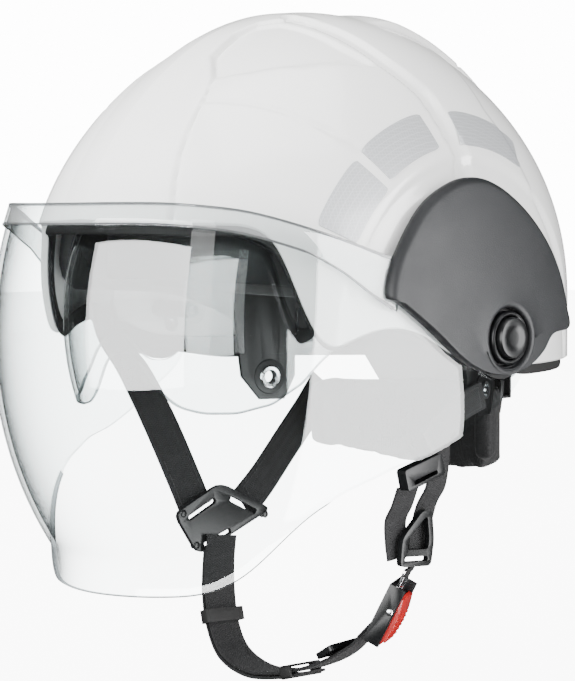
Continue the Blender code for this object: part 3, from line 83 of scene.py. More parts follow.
# ---- Sizes of the object, in millimetres ---------------------------------------------------------

SHELL_HALF_WIDTH = 122.0
SHELL_FRONT = 150.0
SHELL_REAR = 155.5
SHELL_RISE = 147.0
SHELL_WIDEST = 15.0
SHELL_WALL = 3.5
EDGE_ROUND = 0.8
HEAD_MIDDLE = np.array([0.0, 0.0, 20.0])
# The egg narrows by this share towards its top, and its top leans back by this much.
SHELL_TAPER = 0.07
SHELL_LEAN = 8.0
TRIM_GAP = 4.4
TRIM_WALL = 2.0
TRIM_GRIP = 5.5
TAPE_TOP = 0.42
TAPE_UNDER = 0.08
SHIELD_PIVOT = np.array([0.0, 12.0, 0.0])
SHIELD_HALF_WIDTH = 126.0
SHIELD_REACH = 173.0
SHIELD_SETBACK = 12.0
SHIELD_WALL = 2.5
SHIELD_SEAT = 21.0
# Distances from the pivot axis at which the lip starts and is full, and how far it goes down and out.
LIP_START = 118
LIP_FULL = 166
LIP_DROP_DEGREES = 4.8
LIP_FLARE = 8.0
RIM_START = 66
RIM_GAP = 0.12
RIM_UNDER = 0.1
EYE_PIVOT = np.array([0.0, 5.0, 8.0])
EYE_RADIUS = 126.5
EYE_HALF_WIDTH = 90.0
EYE_WALL = 2.2
# Share of its half width at which the eye shield ends.
EYE_END = 0.963
COVER_LIFT = 5.8
COVER_SKIRT = 4.6
COVER_ROUND = 3.0
COVER_HOLE = 14.3
COVER_WALL = 2.2
COVER_SAMPLES = 240
COVER_MIDDLE = np.array([8.0, 28.0])
COVER_INSET = 0.02
BEZEL_SEAT = 2.6
BUTTON_FACE = 135.2
BUTTON_HEIGHT = 5.5
WEBBING_WIDTH = 21.0
WEBBING_WALL = 1.5
NARROW_WIDTH = 14.5
CRADLE_WIDTH = 18.0
CRADLE_WALL = 1.1
CRADLE_LEVEL = 40
PLATE_HALF_WIDTH = 87.5
PLATE_HALF_LENGTH = 123.5
EYELET_PLACE = (79.5, 51.5, -29.5)
EYELET_SINK = 1.6
Y_PLATE_X = -59
RIVET_STAND = 1.3
PIN_ALONG = 3.0
PIN_OUT = 1.6
PIN_HEAD_ACROSS = 12.1
RIB_STAND = 0.1

# Angle round from the brow in degrees, and height of the shell's lower edge.
SHELL_EDGE: Table = (
    (0, 56), (40, 55), (46, 50), (50, 32), (52.5, 14), (55, 2), (58, -4.5), (61, 0), (66, 5.5),
    (72, 7), (77, 4), (83, -6), (90, -12), (100, -14), (180, -14),
)
# Distance from the shield's pivot axis, and the angle of its upper and lower edges.
SHIELD_TOP: Table = (
    (20.5, 120), (24, 108), (28, 84), (34, 62), (42, 48), (60, 34), (78, 30), (93, 28.5),
    (112, 27.1), (140, 25.4), (165, 22.7), (186, 20),
)
SHIELD_BOTTOM: Table = (
    (20.5, -150), (24, -132), (28, -104), (34, -83), (42, -71), (59, -58), (83, -44.8),
    (107, -40.1), (131, -39), (154, -38.6), (169, -37.4), (186, -33.8),
)
# Distance from the shield's pivot axis, and the width of its frosted rim.
RIM_WIDTH: Table = ((60, 26), (80, 20), (95, 15), (112, 11.5), (186, 10.5))
# Distance from the middle plane, and height of the eye shield's lower and upper edges.
EYE_BOTTOM: Table = (
    (0, -4), (7, -6), (13, -13), (22, -25), (32, -32.5), (45, -35), (60, -34.5), (72, -30),
    (80, -20), (86.8, -1),
)
EYE_TOP: Table = ((0, 57), (50, 53), (68, 45), (80, 34), (86.8, 18))
# Corners of the left side cover, seen from the side.
COVER_OUTLINE: Table = (
    (-60, 22), (-54, 40), (-37, 62), (-18, 73.5), (-1, 76.8), (14.5, 73), (31, 62), (45, 47),
    (54, 31), (59, 14), (60.5, 4), (46, 1), (38, -7.2), (27, -14), (12.5, -17.2), (-3, -16.2),
    (-19.6, -8.8), (-38, 5.5), (-54, 17.5),
)
# Share of the way up the rim, and how far it stands out there.
RIM_SECTION: Table = ((0.0, 1.3), (0.12, 1.7), (0.85, 1.7), (1.0, 0.9))
# Each bead on the rim: its name, the shares of the rim between which it lies, and its lift.
RIM_BEADS = (("top", 0.93, 1.0, 1.5), ("bottom", 0.0, 0.06, 1.75))
# Each tape: its name, its first and last angle about the shield's pivot, and its two radii.
TAPES = (
    ("front", 30, 51, 90.5, 109), ("upper", 54, 78, 92.5, 110), ("rear", 89, 118, 92.5, 109.5),
)
# Angle round from the brow, and how far the trim hangs below the shell's edge.
TRIM_DROP: Table = (
    (0, 4.5), (43, 4.5), (48, 3), (54, 2.2), (98, 2.2), (107, 5.5), (180, 5.5),
)
# Share of the trim's height, and how far its outer face lies inside the shell's.
TRIM_SECTION: Table = ((0, 4.9), (0.1, 4.5), (0.5, TRIM_GAP), (1, TRIM_GAP))
# Radius and height of each turned piece.
BEZEL_PROFILE: Table = (
    (10.4, 0), (12.9, 0), (12.9, 2.4), (12.6, 3.2), (12.0, 3.7), (11.4, 3.7), (10.8, 3.3),
    (10.4, 2.4),
)
BUTTON_PROFILE: Table = (
    (0, 4.6), (3.2, 4.6), (4.6, 4.8), (5.4, 5.2), (6.4, 5.5), (8.4, 5.5), (9.4, 5.2), (9.9, 4.5),
    (10.0, 3.6), (10.0, 0), (7.2, 0), (7.2, 3.6), (0, 3.6),
)
BOSS_PROFILE: Table = ((4.5, -1.9), (9.6, -1.9), (9.6, 0.6), (9.2, 1.2), (6.8, 1.4), (4.5, 1.4))
EYELET_PROFILE: Table = (
    (3.3, -3.2), (4.4, -3.2), (4.4, 1.3), (6.0, 1.5), (6.2, 2.0), (5.4, 2.5), (3.9, 2.3), (3.3, 1.4),
)
# Distance back and height of each rivet in the plate where the right straps meet.
RIVETS: Table = ((-29.5, -97), (-20.5, -114.5), (29, -102))
# Distance along the release lever, and height of its face there.
LEVER_RIBS: Table = (
    (-13.0, 5.5), (-10.5, 6.1), (-8.0, 6.3), (-5.5, 6.5), (-3.0, 6.6), (-0.5, 6.5), (2.0, 6.4),
)


# ---- Small helpers -------------------------------------------------------------------------------


def linear(hex_colour: str) -> tuple[float, float, float, float]:
    """Turn an sRGB hex colour into linear values.

    Args:
        hex_colour: Six hex digits, with or without a hash.

    Returns:
        Red, green, blue and an alpha of 1.
    """
    digits = hex_colour.lstrip("#")
    parts = [int(digits[i : i + 2], 16) / 255 for i in (0, 2, 4)]
    red, green, blue = (p / 12.92 if p <= 0.04045 else ((p + 0.055) / 1.055) ** 2.4 for p in parts)
    return red, green, blue, 1.0


def smooth(low: float, high: float, value: np.ndarray | float) -> np.ndarray:
    """Rise smoothly from 0 at low to 1 at high.

    Args:
        low: Where the rise starts.
        high: Where it ends.
        value: Where to read it.

    Returns:
        The share, from 0 to 1.
    """
    share = np.clip((np.asarray(value, float) - low) / (high - low), 0, 1)
    return share * share * (3 - 2 * share)


def read_table(table: Sequence[tuple[float, float]], values: np.ndarray) -> np.ndarray:
    """Read a table of pairs along straight lines.

    Args:
        table: Pairs of position and result, in rising order.
        values: Positions to read at.

    Returns:
        The results.
    """
    places, results = zip(*table)
    return np.interp(values, places, results)


def soften(row: np.ndarray, reach: int, closed: bool = False) -> np.ndarray:
    """Round the corners of a row of numbers.

    Args:
        row: The numbers.
        reach: How many neighbours each side are averaged in.
        closed: Whether the row joins end to end.

    Returns:
        The softened numbers.
    """
    weights = np.hanning(2 * reach + 3)[1:-1]
    weights /= weights.sum()
    padded = np.pad(row, reach, mode="wrap" if closed else "edge")
    return np.convolve(padded, weights, mode="valid")


def catmull(controls: np.ndarray, count: int, closed: bool = False) -> np.ndarray:
    """Sample a smooth curve through control points.

    Args:
        controls: Control points, one a row.
        count: How many samples.
        closed: Whether the curve joins end to end.

    Returns:
        The samples, one a row.
    """
    points = np.asarray(controls, float)
    total = len(points)
    spans = total if closed else total - 1
    place = np.linspace(0, spans, count, endpoint=not closed)
    k = np.minimum(place.astype(int), spans - 1)
    t = (place - k)[:, None]
    if closed:
        a, b, c, d = (points[(k + i) % total] for i in (-1, 0, 1, 2))
    else:
        a, b, c, d = (points[np.clip(k + i, 0, total - 1)] for i in (-1, 0, 1, 2))
    leave, arrive = (c - a) / 2, (d - b) / 2
    return (
        b * (2 * t**3 - 3 * t**2 + 1)
        + leave * (t**3 - 2 * t**2 + t)
        + c * (-2 * t**3 + 3 * t**2)
        + arrive * (t**3 - t**2)
    )


def unit(vectors: np.ndarray) -> np.ndarray:
    """Scale vectors to length 1.

    Args:
        vectors: Vectors in the last axis.

    Returns:
        The same directions at length 1.
    """
    return vectors / np.maximum(np.linalg.norm(vectors, axis=-1, keepdims=True), 1e-9)


def grid_normals(grid: np.ndarray, closed: bool) -> np.ndarray:
    """Give the normals of a grid of points.

    Args:
        grid: Points as rows, columns, three.
        closed: Whether each row joins end to end.

    Returns:
        One normal for each point, on the side that rows cross columns gives.
    """
    if closed:
        along = np.roll(grid, -1, 1) - np.roll(grid, 1, 1)
    else:
        along = np.gradient(grid, axis=1)
    across = np.gradient(grid, axis=0)
    return unit(np.cross(along, across))


def away_from(normals: np.ndarray, grid: np.ndarray, inside: np.ndarray) -> np.ndarray:
    """Turn all the normals of a grid so that they look away from a point inside.

    Args:
        normals: Normals of the grid.
        grid: Its points.
        inside: A point on the inner side.

    Returns:
        The normals, all kept or all turned.
    """
    outward = float(np.sum(normals * (grid - inside)))
    return normals if outward > 0 else -normals


def mesh_object(
    name: str,
    points: np.ndarray,
    faces: Sequence[Sequence[int]],
    material: bpy.types.Material,
    sharp_degrees: float = 35.0,
    uvs: np.ndarray | None = None,
    edge: tuple[int, bpy.types.Material] | None = None,
) -> bpy.types.Object:
    """Make a mesh object from points in millimetres, with its faces looking outwards.

    Args:
        name: Name of the piece.
        points: Points, one a row.
        faces: Corner indices of each face.
        material: Its material.
        sharp_degrees: Edges steeper than this stay sharp.
        uvs: One pair for each point, if the piece has them.
        edge: Index of the first face that has another material, and that material.

    Returns:
        The object, at the origin.
    """
    mesh = bpy.data.meshes.new(name)
    mesh.from_pydata((np.asarray(points) * MM).tolist(), [], [list(face) for face in faces])
    edit = bmesh.new()
    edit.from_mesh(mesh)
    bmesh.ops.recalc_face_normals(edit, faces=edit.faces[:])
    edit.to_mesh(mesh)
    edit.free()
    if uvs is not None:
        layer = mesh.uv_layers.new(name="UVMap")
        corners = np.empty(len(mesh.loops), np.int32)
        mesh.loops.foreach_get("vertex_index", corners)
        layer.data.foreach_set("uv", np.asarray(uvs, np.float32)[corners].ravel())
    mesh.shade_smooth()
    mesh.set_sharp_from_angle(angle=math.radians(sharp_degrees))
    mesh.materials.append(material)
    if edge is not None:
        mesh.materials.append(edge[1])
        slots = (np.arange(len(mesh.polygons)) >= edge[0]).astype(np.int32)
        mesh.polygons.foreach_set("material_index", slots)
    obj = bpy.data.objects.new(name, mesh)
    bpy.context.scene.collection.objects.link(obj)
    return obj


def grid_faces(rows: int, columns: int, closed: bool, start: int = 0) -> list[tuple[int, ...]]:
    """List the faces of a grid of points.

    Args:
        rows: Number of rows.
        columns: Number of columns.
        closed: Whether each row joins end to end.
        start: Index of the grid's first point.

    Returns:
        The faces as four corner indices each.
    """
    faces = []
    for r in range(rows - 1):
        for c in range(columns if closed else columns - 1):
            d = (c + 1) % columns
            low, high = start + r * columns, start + (r + 1) * columns
            faces.append((low + c, low + d, high + d, high + c))
    return faces


def boundary(rows: int, columns: int) -> list[int]:
    """List the points round an open grid, in order.

    Args:
        rows: Number of rows.
        columns: Number of columns.

    Returns:
        Indices of the outermost points.
    """
    bottom = list(range(columns))
    right = [r * columns + columns - 1 for r in range(1, rows)]
    top = [(rows - 1) * columns + c for c in range(columns - 2, -1, -1)]
    left = [r * columns for r in range(rows - 2, 0, -1)]
    return bottom + right + top + left


def skin(
    name: str,
    outer: np.ndarray,
    inner: np.ndarray,
    material: bpy.types.Material,
    bulge: float,
    closed: bool = False,
    sharp_degrees: float = 35.0,
    edge: bpy.types.Material | None = None,
) -> bpy.types.Object:
    """Join two grids into one closed wall with rounded edges.

    Args:
        name: Name of the piece.
        outer: Outer points as rows, columns, three.
        inner: Inner points in the same order.
        material: Its material.
        bulge: How far the middle of the edge stands out, in millimetres.
        closed: Whether each row joins end to end.
        sharp_degrees: Edges steeper than this stay sharp.
        edge: Material of the rounded edge, if it has its own.

    Returns:
        The object.
    """
    rows, columns = outer.shape[:2]
    count = rows * columns
    points = [outer.reshape(-1, 3), inner.reshape(-1, 3)]
    faces = grid_faces(rows, columns, closed) + grid_faces(rows, columns, closed, count)
    if closed:
        loops = [list(range(columns)), [(rows - 1) * columns + c for c in range(columns)]]
        steps = [columns, -columns]
    else:
        loops = [boundary(rows, columns)]
        steps = [0]
    start = 2 * count
    first_edge = len(faces)
    flat_out, flat_in = points[0], points[1]
    for loop, step in zip(loops, steps):
        index = np.array(loop)
        if closed:
            inward = flat_out[index + step]
        else:
            r, c = index // columns, index % columns
            r = np.clip(r, 1, rows - 2)
            c = np.clip(c, 1, columns - 2)
            inward = flat_out[r * columns + c]
        away = unit(flat_out[index] - inward) * bulge
        points.append((flat_out[index] + flat_in[index]) / 2 + away)
        size = len(loop)
        for i in range(size):
            j = (i + 1) % size
            faces.append((loop[i], loop[j], start + j, start + i))
            faces.append((start + i, start + j, count + loop[j], count + loop[i]))
        start += size
    band = (first_edge, edge) if edge else None
    return mesh_object(name, np.concatenate(points), faces, material, sharp_degrees, edge=band)


def lathe(
    name: str,
    profile: Sequence[tuple[float, float]],
    place: np.ndarray,
    outward: np.ndarray,
    material: bpy.types.Material,
) -> bpy.types.Object:
    """Turn a profile about an axis.

    Args:
        name: Name of the piece.
        profile: Pairs of radius and height, in millimetres. Ends on the axis are closed.
        place: Where the axis starts.
        outward: Direction of the axis.
        material: Its material.

    Returns:
        The object.
    """
    axis = Vector(outward).normalized()
    turn = axis.to_track_quat("Z", "Y").to_matrix()
    base = np.array(place, float)
    angles = np.arange(LATHE_STEPS) * 2 * math.pi / LATHE_STEPS
    points: list[np.ndarray] = []
    rings: list[list[int]] = []
    for radius, height in profile:
        if radius < ON_AXIS:
            rings.append([len(points)] * LATHE_STEPS)
            points.append(np.array([0, 0, height]))
            continue
        rings.append(list(range(len(points), len(points) + LATHE_STEPS)))
        points.extend(np.array([radius * math.cos(a), radius * math.sin(a), height]) for a in angles)
    faces = []
    hollow = profile[0][0] > ON_AXIS
    pairs = list(zip(rings, rings[1:])) + ([(rings[-1], rings[0])] if hollow else [])
    for low, high in pairs:
        for i in range(LATHE_STEPS):
            j = (i + 1) % LATHE_STEPS
            corners = list(dict.fromkeys((low[i], low[j], high[j], high[i])))
            if len(corners) > 2:
                faces.append(corners)
    placed = np.array(points) @ np.array(turn).T + base
    return mesh_object(name, placed, faces, material, LATHE_SHARP_DEGREES)


def attach(
    obj: bpy.types.Object,
    node: str,
    replaces: Sequence[str] = (),
) -> bpy.types.Object:
    """Tie a finished piece to a CAD node's body.

    Args:
        obj: The piece.
        node: The CAD node it goes with.
        replaces: CAD nodes that it stands for.

    Returns:
        The same piece.
    """
    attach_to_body(obj, BODY_OF[node])
    if replaces:
        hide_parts(*replaces)
    return obj


def welded(node: str) -> bmesh.types.BMesh:
    """Open a copy of a CAD solid for editing, with its doubled corners merged.

    Args:
        node: Name of the CAD node.

    Returns:
        The copy.
    """
    edit = bmesh.new()
    edit.from_mesh(NODES[node].data)
    bmesh.ops.remove_doubles(edit, verts=edit.verts[:], dist=MERGE_METRES)
    return edit


def unfinished(edit: bmesh.types.BMesh, name: str) -> bpy.types.Object:
    """Turn an edited solid into an object that modifiers can finish.

    Args:
        edit: The solid, which is closed here.
        name: Name that the object's own name starts with.

    Returns:
        The object.
    """
    mesh = bpy.data.meshes.new(name)
    edit.to_mesh(mesh)
    edit.free()
    obj = bpy.data.objects.new(f"{name}_source", mesh)
    bpy.context.scene.collection.objects.link(obj)
    return obj


def paint(obj: bpy.types.Object, material: bpy.types.Material) -> None:
    """Give an object one material and no other.

    Args:
        obj: The object.
        material: Its material.
    """
    obj.data.materials.clear()
    obj.data.materials.append(material)


# ---- Materials -----------------------------------------------------------------------------------


class Tree:
    """A material's node tree, with one short call for each node."""

    def __init__(self, name: str) -> None:
        """Start an empty material.

        Args:
            name: Name of the material.
        """
        self.material = bpy.data.materials.new(name)
        self.material.use_nodes = True
        self.material.node_tree.nodes.clear()

    def add(self, kind: str, settings: dict | None = None, **inputs: object) -> bpy.types.Node:
        """Add a node with its settings and its links.

        Args:
            kind: Type name of the node.
            settings: Properties of the node.
            **inputs: Sockets by name, with _ for a space, each a value or an output to link. A
                name such as in0 gives a socket by its number.

        Returns:
            The node.
        """
        node = self.material.node_tree.nodes.new(kind)
        for key, value in (settings or {}).items():
            setattr(node, key, value)
        for key, value in inputs.items():
            numbered = key.startswith("in") and key[2:].isdigit()
            socket = node.inputs[int(key[2:]) if numbered else key.replace("_", " ")]
            if isinstance(value, bpy.types.NodeSocket):
                self.material.node_tree.links.new(value, socket)
            else:
                socket.default_value = value
        return node

    def math(self, operation: str, first: object, second: object = 0.0) -> bpy.types.NodeSocket:
        """Add a Math node.

        Args:
            operation: Its operation.
            first: First value or output.
            second: Second value or output.

        Returns:
            Its output.
        """
        return self.add("ShaderNodeMath", {"operation": operation}, in0=first, in1=second).outputs[0]

    def noise(self, size_mm: float, detail: float = 3.0) -> bpy.types.NodeSocket:
        """Add noise whose features are about this size on the object.

        Args:
            size_mm: Size of a feature in millimetres.
            detail: Amount of finer noise.

        Returns:
            Its value.
        """
        place = self.add("ShaderNodeTexCoord").outputs["Object"]
        noise = self.add("ShaderNodeTexNoise", Vector=place, Scale=1 / (size_mm * MM), Detail=detail)
        return noise.outputs[0]

    def bump(self, height: object, depth_mm: float, normal: object = None) -> bpy.types.NodeSocket:
        """Add a bump of a real depth.

        Args:
            height: Output that gives the height from 0 to 1.
            depth_mm: Depth in millimetres.
            normal: Output of a bump under this one.

        Returns:
            The normal.
        """
        node = self.add("ShaderNodeBump", Height=height, Strength=1.0, Distance=depth_mm * MM)
        if normal is not None:
            self.material.node_tree.links.new(normal, node.inputs["Normal"])
        return node.outputs["Normal"]

    def ramp(self, value: object, low: object, high: object) -> bpy.types.NodeSocket:
        """Mix two colours by a value.

        Args:
            value: Output from 0 to 1.
            low: Colour at 0.
            high: Colour at 1.

        Returns:
            The colour.
        """
        node = self.add("ShaderNodeMix", {"data_type": "RGBA"}, in0=value, in6=low, in7=high)
        return node.outputs[2]

    def finish(self, shader: bpy.types.NodeSocket) -> bpy.types.Material:
        """Link the shader to the output.

        Args:
            shader: The last shader.

        Returns:
            The material.
        """
        self.add("ShaderNodeOutputMaterial", Surface=shader)
        return self.material


@dataclass(frozen=True)
class GlossMoulding:
    """Injection-moulded plastic with a polished or painted face and a faint orange peel."""

    name: str
    colour: str
    roughness: float
    peel_depth: float = 0.012

    def material(self) -> bpy.types.Material:
        """Build the material.

        Returns:
            The material.
        """
        tree = Tree(self.name)
        normal = tree.bump(tree.noise(3.5, 1.0), self.peel_depth)
        shader = tree.add(
            "ShaderNodeBsdfPrincipled", Base_Color=linear(self.colour), Roughness=self.roughness,
            Normal=normal, Coat_Weight=0.35, Coat_Roughness=0.06,
        )
        return tree.finish(shader.outputs[0])


@dataclass(frozen=True)
class GrainedMoulding:
    """Black moulding with a spark-eroded grain that scatters light into a soft grey sheen."""

    name: str
    colour: str
    roughness: float
    grain_mm: float
    grain_depth: float
    wear_mm: float = 18.0
    wear_spread: float = 0.16

    def material(self) -> bpy.types.Material:
        """Build the material.

        Returns:
            The material.
        """
        tree = Tree(self.name)
        grain = tree.noise(self.grain_mm, 2.0)
        normal = tree.bump(grain, self.grain_depth)
        wear = tree.math("MULTIPLY", tree.noise(self.wear_mm, 2.0), self.wear_spread)
        worn = tree.math("ADD", wear, self.roughness - self.wear_spread / 2)
        shader = tree.add(
            "ShaderNodeBsdfPrincipled", Base_Color=linear(self.colour), Roughness=worn,
            Normal=normal, Specular_IOR_Level=0.22,
        )
        return tree.finish(shader.outputs[0])


@dataclass(frozen=True)
class ClearSheet:
    """Polished polycarbonate sheet, clear face-on and greyer and more mirror-like at a slant."""

    name: str
    tint: str = "#F7F9F9"
    edge_tint: str = "#8D9192"
    milkiness: float = 0.0
    mirror_face_on: float = 0.045
    mirror_slant: float = 0.72

    def material(self) -> bpy.types.Material:
        """Build the material.

        Returns:
            The material.
        """
        tree = Tree(self.name)
        slant = tree.add("ShaderNodeLayerWeight", Blend=0.5).outputs["Facing"]
        fifth = tree.math("POWER", slant, 5.0)
        slanted = tree.math("MULTIPLY", fifth, self.mirror_slant)
        mirror = tree.math("ADD", slanted, self.mirror_face_on)
        tint = tree.ramp(tree.math("POWER", slant, 3.5), linear(self.tint), linear(self.edge_tint))
        clear = tree.add("ShaderNodeBsdfTransparent", Color=tint)
        gloss = tree.add("ShaderNodeBsdfGlossy", Roughness=0.015, Color=(1.0, 1.0, 1.0, 1.0))
        body = clear.outputs[0]
        if self.milkiness:
            cloud = tree.add("ShaderNodeBsdfPrincipled", Base_Color=linear("#EDEFF0"), Roughness=0.3)
            body = tree.add(
                "ShaderNodeMixShader", in0=self.milkiness, in1=body, in2=cloud.outputs[0]
            ).outputs[0]
        sheet = tree.add("ShaderNodeMixShader", in0=mirror, in1=body, in2=gloss.outputs[0])
        return tree.finish(sheet.outputs[0])


@dataclass(frozen=True)
class WovenWebbing:
    """Narrow polyester webbing: slanted ribs across the strap, with a dull fibre sheen and a painted
    highlight on the rib tops.
    """

    name: str
    colour: str
    rib_mm: float = 1.3

    def material(self) -> bpy.types.Material:
        """Build the material.

        Returns:
            The material.
        """
        tree = Tree(self.name)
        place = tree.add("ShaderNodeUVMap").outputs["UV"]
        parts = tree.add("ShaderNodeSeparateXYZ", Vector=place)
        across, along = parts.outputs[0], parts.outputs[1]
        fold = tree.math("PINGPONG", across, 2.6)
        phase = tree.math("ADD", tree.math("MULTIPLY", fold, 0.6), along)
        rib = tree.math("SINE", tree.math("MULTIPLY", phase, 2 * math.pi / self.rib_mm))
        yarn = tree.math("SINE", tree.math("MULTIPLY", across, 2 * math.pi / (self.rib_mm * 0.7)))
        weave = tree.math("ADD", tree.math("MULTIPLY", rib, 0.3), tree.math("MULTIPLY", yarn, 0.2))
        height = tree.math("ADD", weave, 0.5)
        normal = tree.bump(tree.noise(0.5, 2.0), 0.05, tree.bump(height, 0.22))
        # pale is a painted highlight: the raised ribs are coloured lighter than the grooves between
        # them.
        base = linear(self.colour)
        pale = tuple(min(c * 1.8 + 0.002, 1.0) for c in base[:3]) + (1.0,)
        shader = tree.add(
            "ShaderNodeBsdfPrincipled", Base_Color=tree.ramp(height, base, pale), Roughness=0.78,
            Normal=normal, Specular_IOR_Level=0.2, Sheen_Weight=0.05, Sheen_Roughness=0.5,
        )
        return tree.finish(shader.outputs[0])


@dataclass(frozen=True)
class KnitFabric:
    """Brushed knit over foam: a fine loop pattern with a velvety edge."""

    name: str
    colour: str
    loop_mm: float = 0.9

    def material(self) -> bpy.types.Material:
        """Build the material.

        Returns:
            The material.
        """
        tree = Tree(self.name)
        place = tree.add("ShaderNodeTexCoord").outputs["Object"]
        cells = tree.add(
            "ShaderNodeTexVoronoi", Vector=place, Scale=1 / (self.loop_mm * MM), Randomness=0.45
        )
        normal = tree.bump(tree.noise(7.0, 3.0), 0.5, tree.bump(cells.outputs["Distance"], 0.25))
        shader = tree.add(
            "ShaderNodeBsdfPrincipled", Base_Color=linear(self.colour), Roughness=0.8,
            Normal=normal, Specular_IOR_Level=0.2, Sheen_Weight=0.06, Sheen_Roughness=0.4,
        )
        return tree.finish(shader.outputs[0])


@dataclass(frozen=True)
class BeadFoam:
    """Expanded bead foam: flattened beads a few millimetres across, pressed into a skin."""

    name: str
    colour: str
    bead_mm: float = 3.2

    def material(self) -> bpy.types.Material:
        """Build the material.

        Returns:
            The material.
        """
        tree = Tree(self.name)
        place = tree.add("ShaderNodeTexCoord").outputs["Object"]
        beads = tree.add("ShaderNodeTexVoronoi", Vector=place, Scale=1 / (self.bead_mm * MM))
        dark = linear(self.colour)
        pale = tuple(min(c * 1.5, 1.0) for c in dark[:3]) + (1.0,)
        base = tree.ramp(beads.outputs["Color"], dark, pale)
        normal = tree.bump(beads.outputs["Distance"], 0.25)
        shader = tree.add("ShaderNodeBsdfPrincipled", Base_Color=base, Roughness=0.75, Normal=normal)
        return tree.finish(shader.outputs[0])


@dataclass(frozen=True)
class PrismTape:
    """Retroreflective film: tiny sealed cells under a smooth clear face, pale grey in plain light."""

    name: str
    colour: str
    cell_mm: float = 1.6

    def material(self) -> bpy.types.Material:
        """Build the material.

        Returns:
            The material.
        """
        tree = Tree(self.name)
        place = tree.add("ShaderNodeTexCoord").outputs["Object"]
        cells = tree.add(
            "ShaderNodeTexVoronoi", {"feature": "DISTANCE_TO_EDGE"}, Vector=place,
            Scale=1 / (self.cell_mm * MM), Randomness=0.1,
        )
        edge = tree.math("LESS_THAN", cells.outputs["Distance"], 0.07)
        base = tree.ramp(edge, linear(self.colour), linear("#B6B8BB"))
        shader = tree.add(
            "ShaderNodeBsdfPrincipled", Base_Color=base, Roughness=0.42, Metallic=0.15,
            Coat_Weight=0.4, Coat_Roughness=0.12,
        )
        return tree.finish(shader.outputs[0])


@dataclass(frozen=True)
class TurnedSteel:
    """Plain turned or stamped steel with fine tool marks that stretch the highlights."""

    name: str
    colour: str = "#C3C4C6"

    def material(self) -> bpy.types.Material:
        """Build the material.

        Returns:
            The material.
        """
        tree = Tree(self.name)
        rough = tree.math("ADD", tree.math("MULTIPLY", tree.noise(0.6, 2.0), 0.12), 0.18)
        shader = tree.add(
            "ShaderNodeBsdfPrincipled", Base_Color=linear(self.colour), Metallic=1.0,
            Roughness=rough, Normal=tree.bump(tree.noise(0.25, 1.0), 0.01),
        )
        return tree.finish(shader.outputs[0])


class Finishes:
    """Every material of the object, built once."""

    def __init__(self) -> None:
        """Build the materials."""
        self.shell = GlossMoulding("white_polished_shell", "#F6F6F5", 0.2).material()
        self.cover = GrainedMoulding("black_eroded_cover", "#151618", 0.5, 0.55, 0.1).material()
        self.black = GrainedMoulding("black_satin_moulding", "#101112", 0.34, 0.9, 0.02).material()
        self.rubber = GrainedMoulding("black_rubber", "#141414", 0.68, 0.7, 0.04).material()
        self.face_clear = ClearSheet("clear_face_polycarbonate").material()
        self.eye_clear = ClearSheet("clear_eye_polycarbonate", "#F4F6F6", "#7C8081").material()
        self.rim_clear = ClearSheet("frosted_rim_polycarbonate", milkiness=0.16).material()
        # The cut edges are tinted dark grey: painted shade for the dark reflections seen along the
        # shields' edges.
        self.shaded_cut_edge = ClearSheet("cut_edge_polycarbonate", "#7C8183", "#2C3032", 0.05).material()
        # The rim's beads are tinted dark grey: painted shade for the dark line at the rim's edge and for
        # the black brow seen below it.
        self.rim_bead_shade = ClearSheet("moulded_rim_bead", "#8A8F91", "#3A3E40", 0.1).material()
        self.webbing = WovenWebbing("black_woven_webbing", "#0F0F10").material()
        self.knit = KnitFabric("black_brushed_knit", "#0E0E0F").material()
        self.foam = BeadFoam("dark_bead_foam", "#1C1D1E").material()
        self.tape = PrismTape("silver_prism_tape", "#A3A5A8").material()
        self.steel = TurnedSteel("bright_turned_steel").material()
        self.red = GlossMoulding("red_polished_lever", "#B80D08", 0.35).material()
        self.thread = GrainedMoulding("black_sewing_thread", "#2A2A2B", 0.6, 0.3, 0.02).material()
        self.by_slot = {
            "white_gloss_shell": self.shell,
            "black_foam_liner": self.foam,
            "black_rubber_trim": self.rubber,
            "silver_reflective_tape": self.tape,
            "clear_polycarbonate": self.eye_clear,
            "black_grained_plastic": self.cover,
            "black_moulded_plastic": self.black,
            "bright_steel": self.steel,
            "black_leather_pad": self.knit,
            "black_webbing": self.webbing,
            "red_lever_plastic": self.red,
        }


# ---- Repeated details ----------------------------------------------------------------------------


class Shape(Enum):
    """What a repeated detail looks like."""

    BEAD = "bead"
    BLOCK = "block"


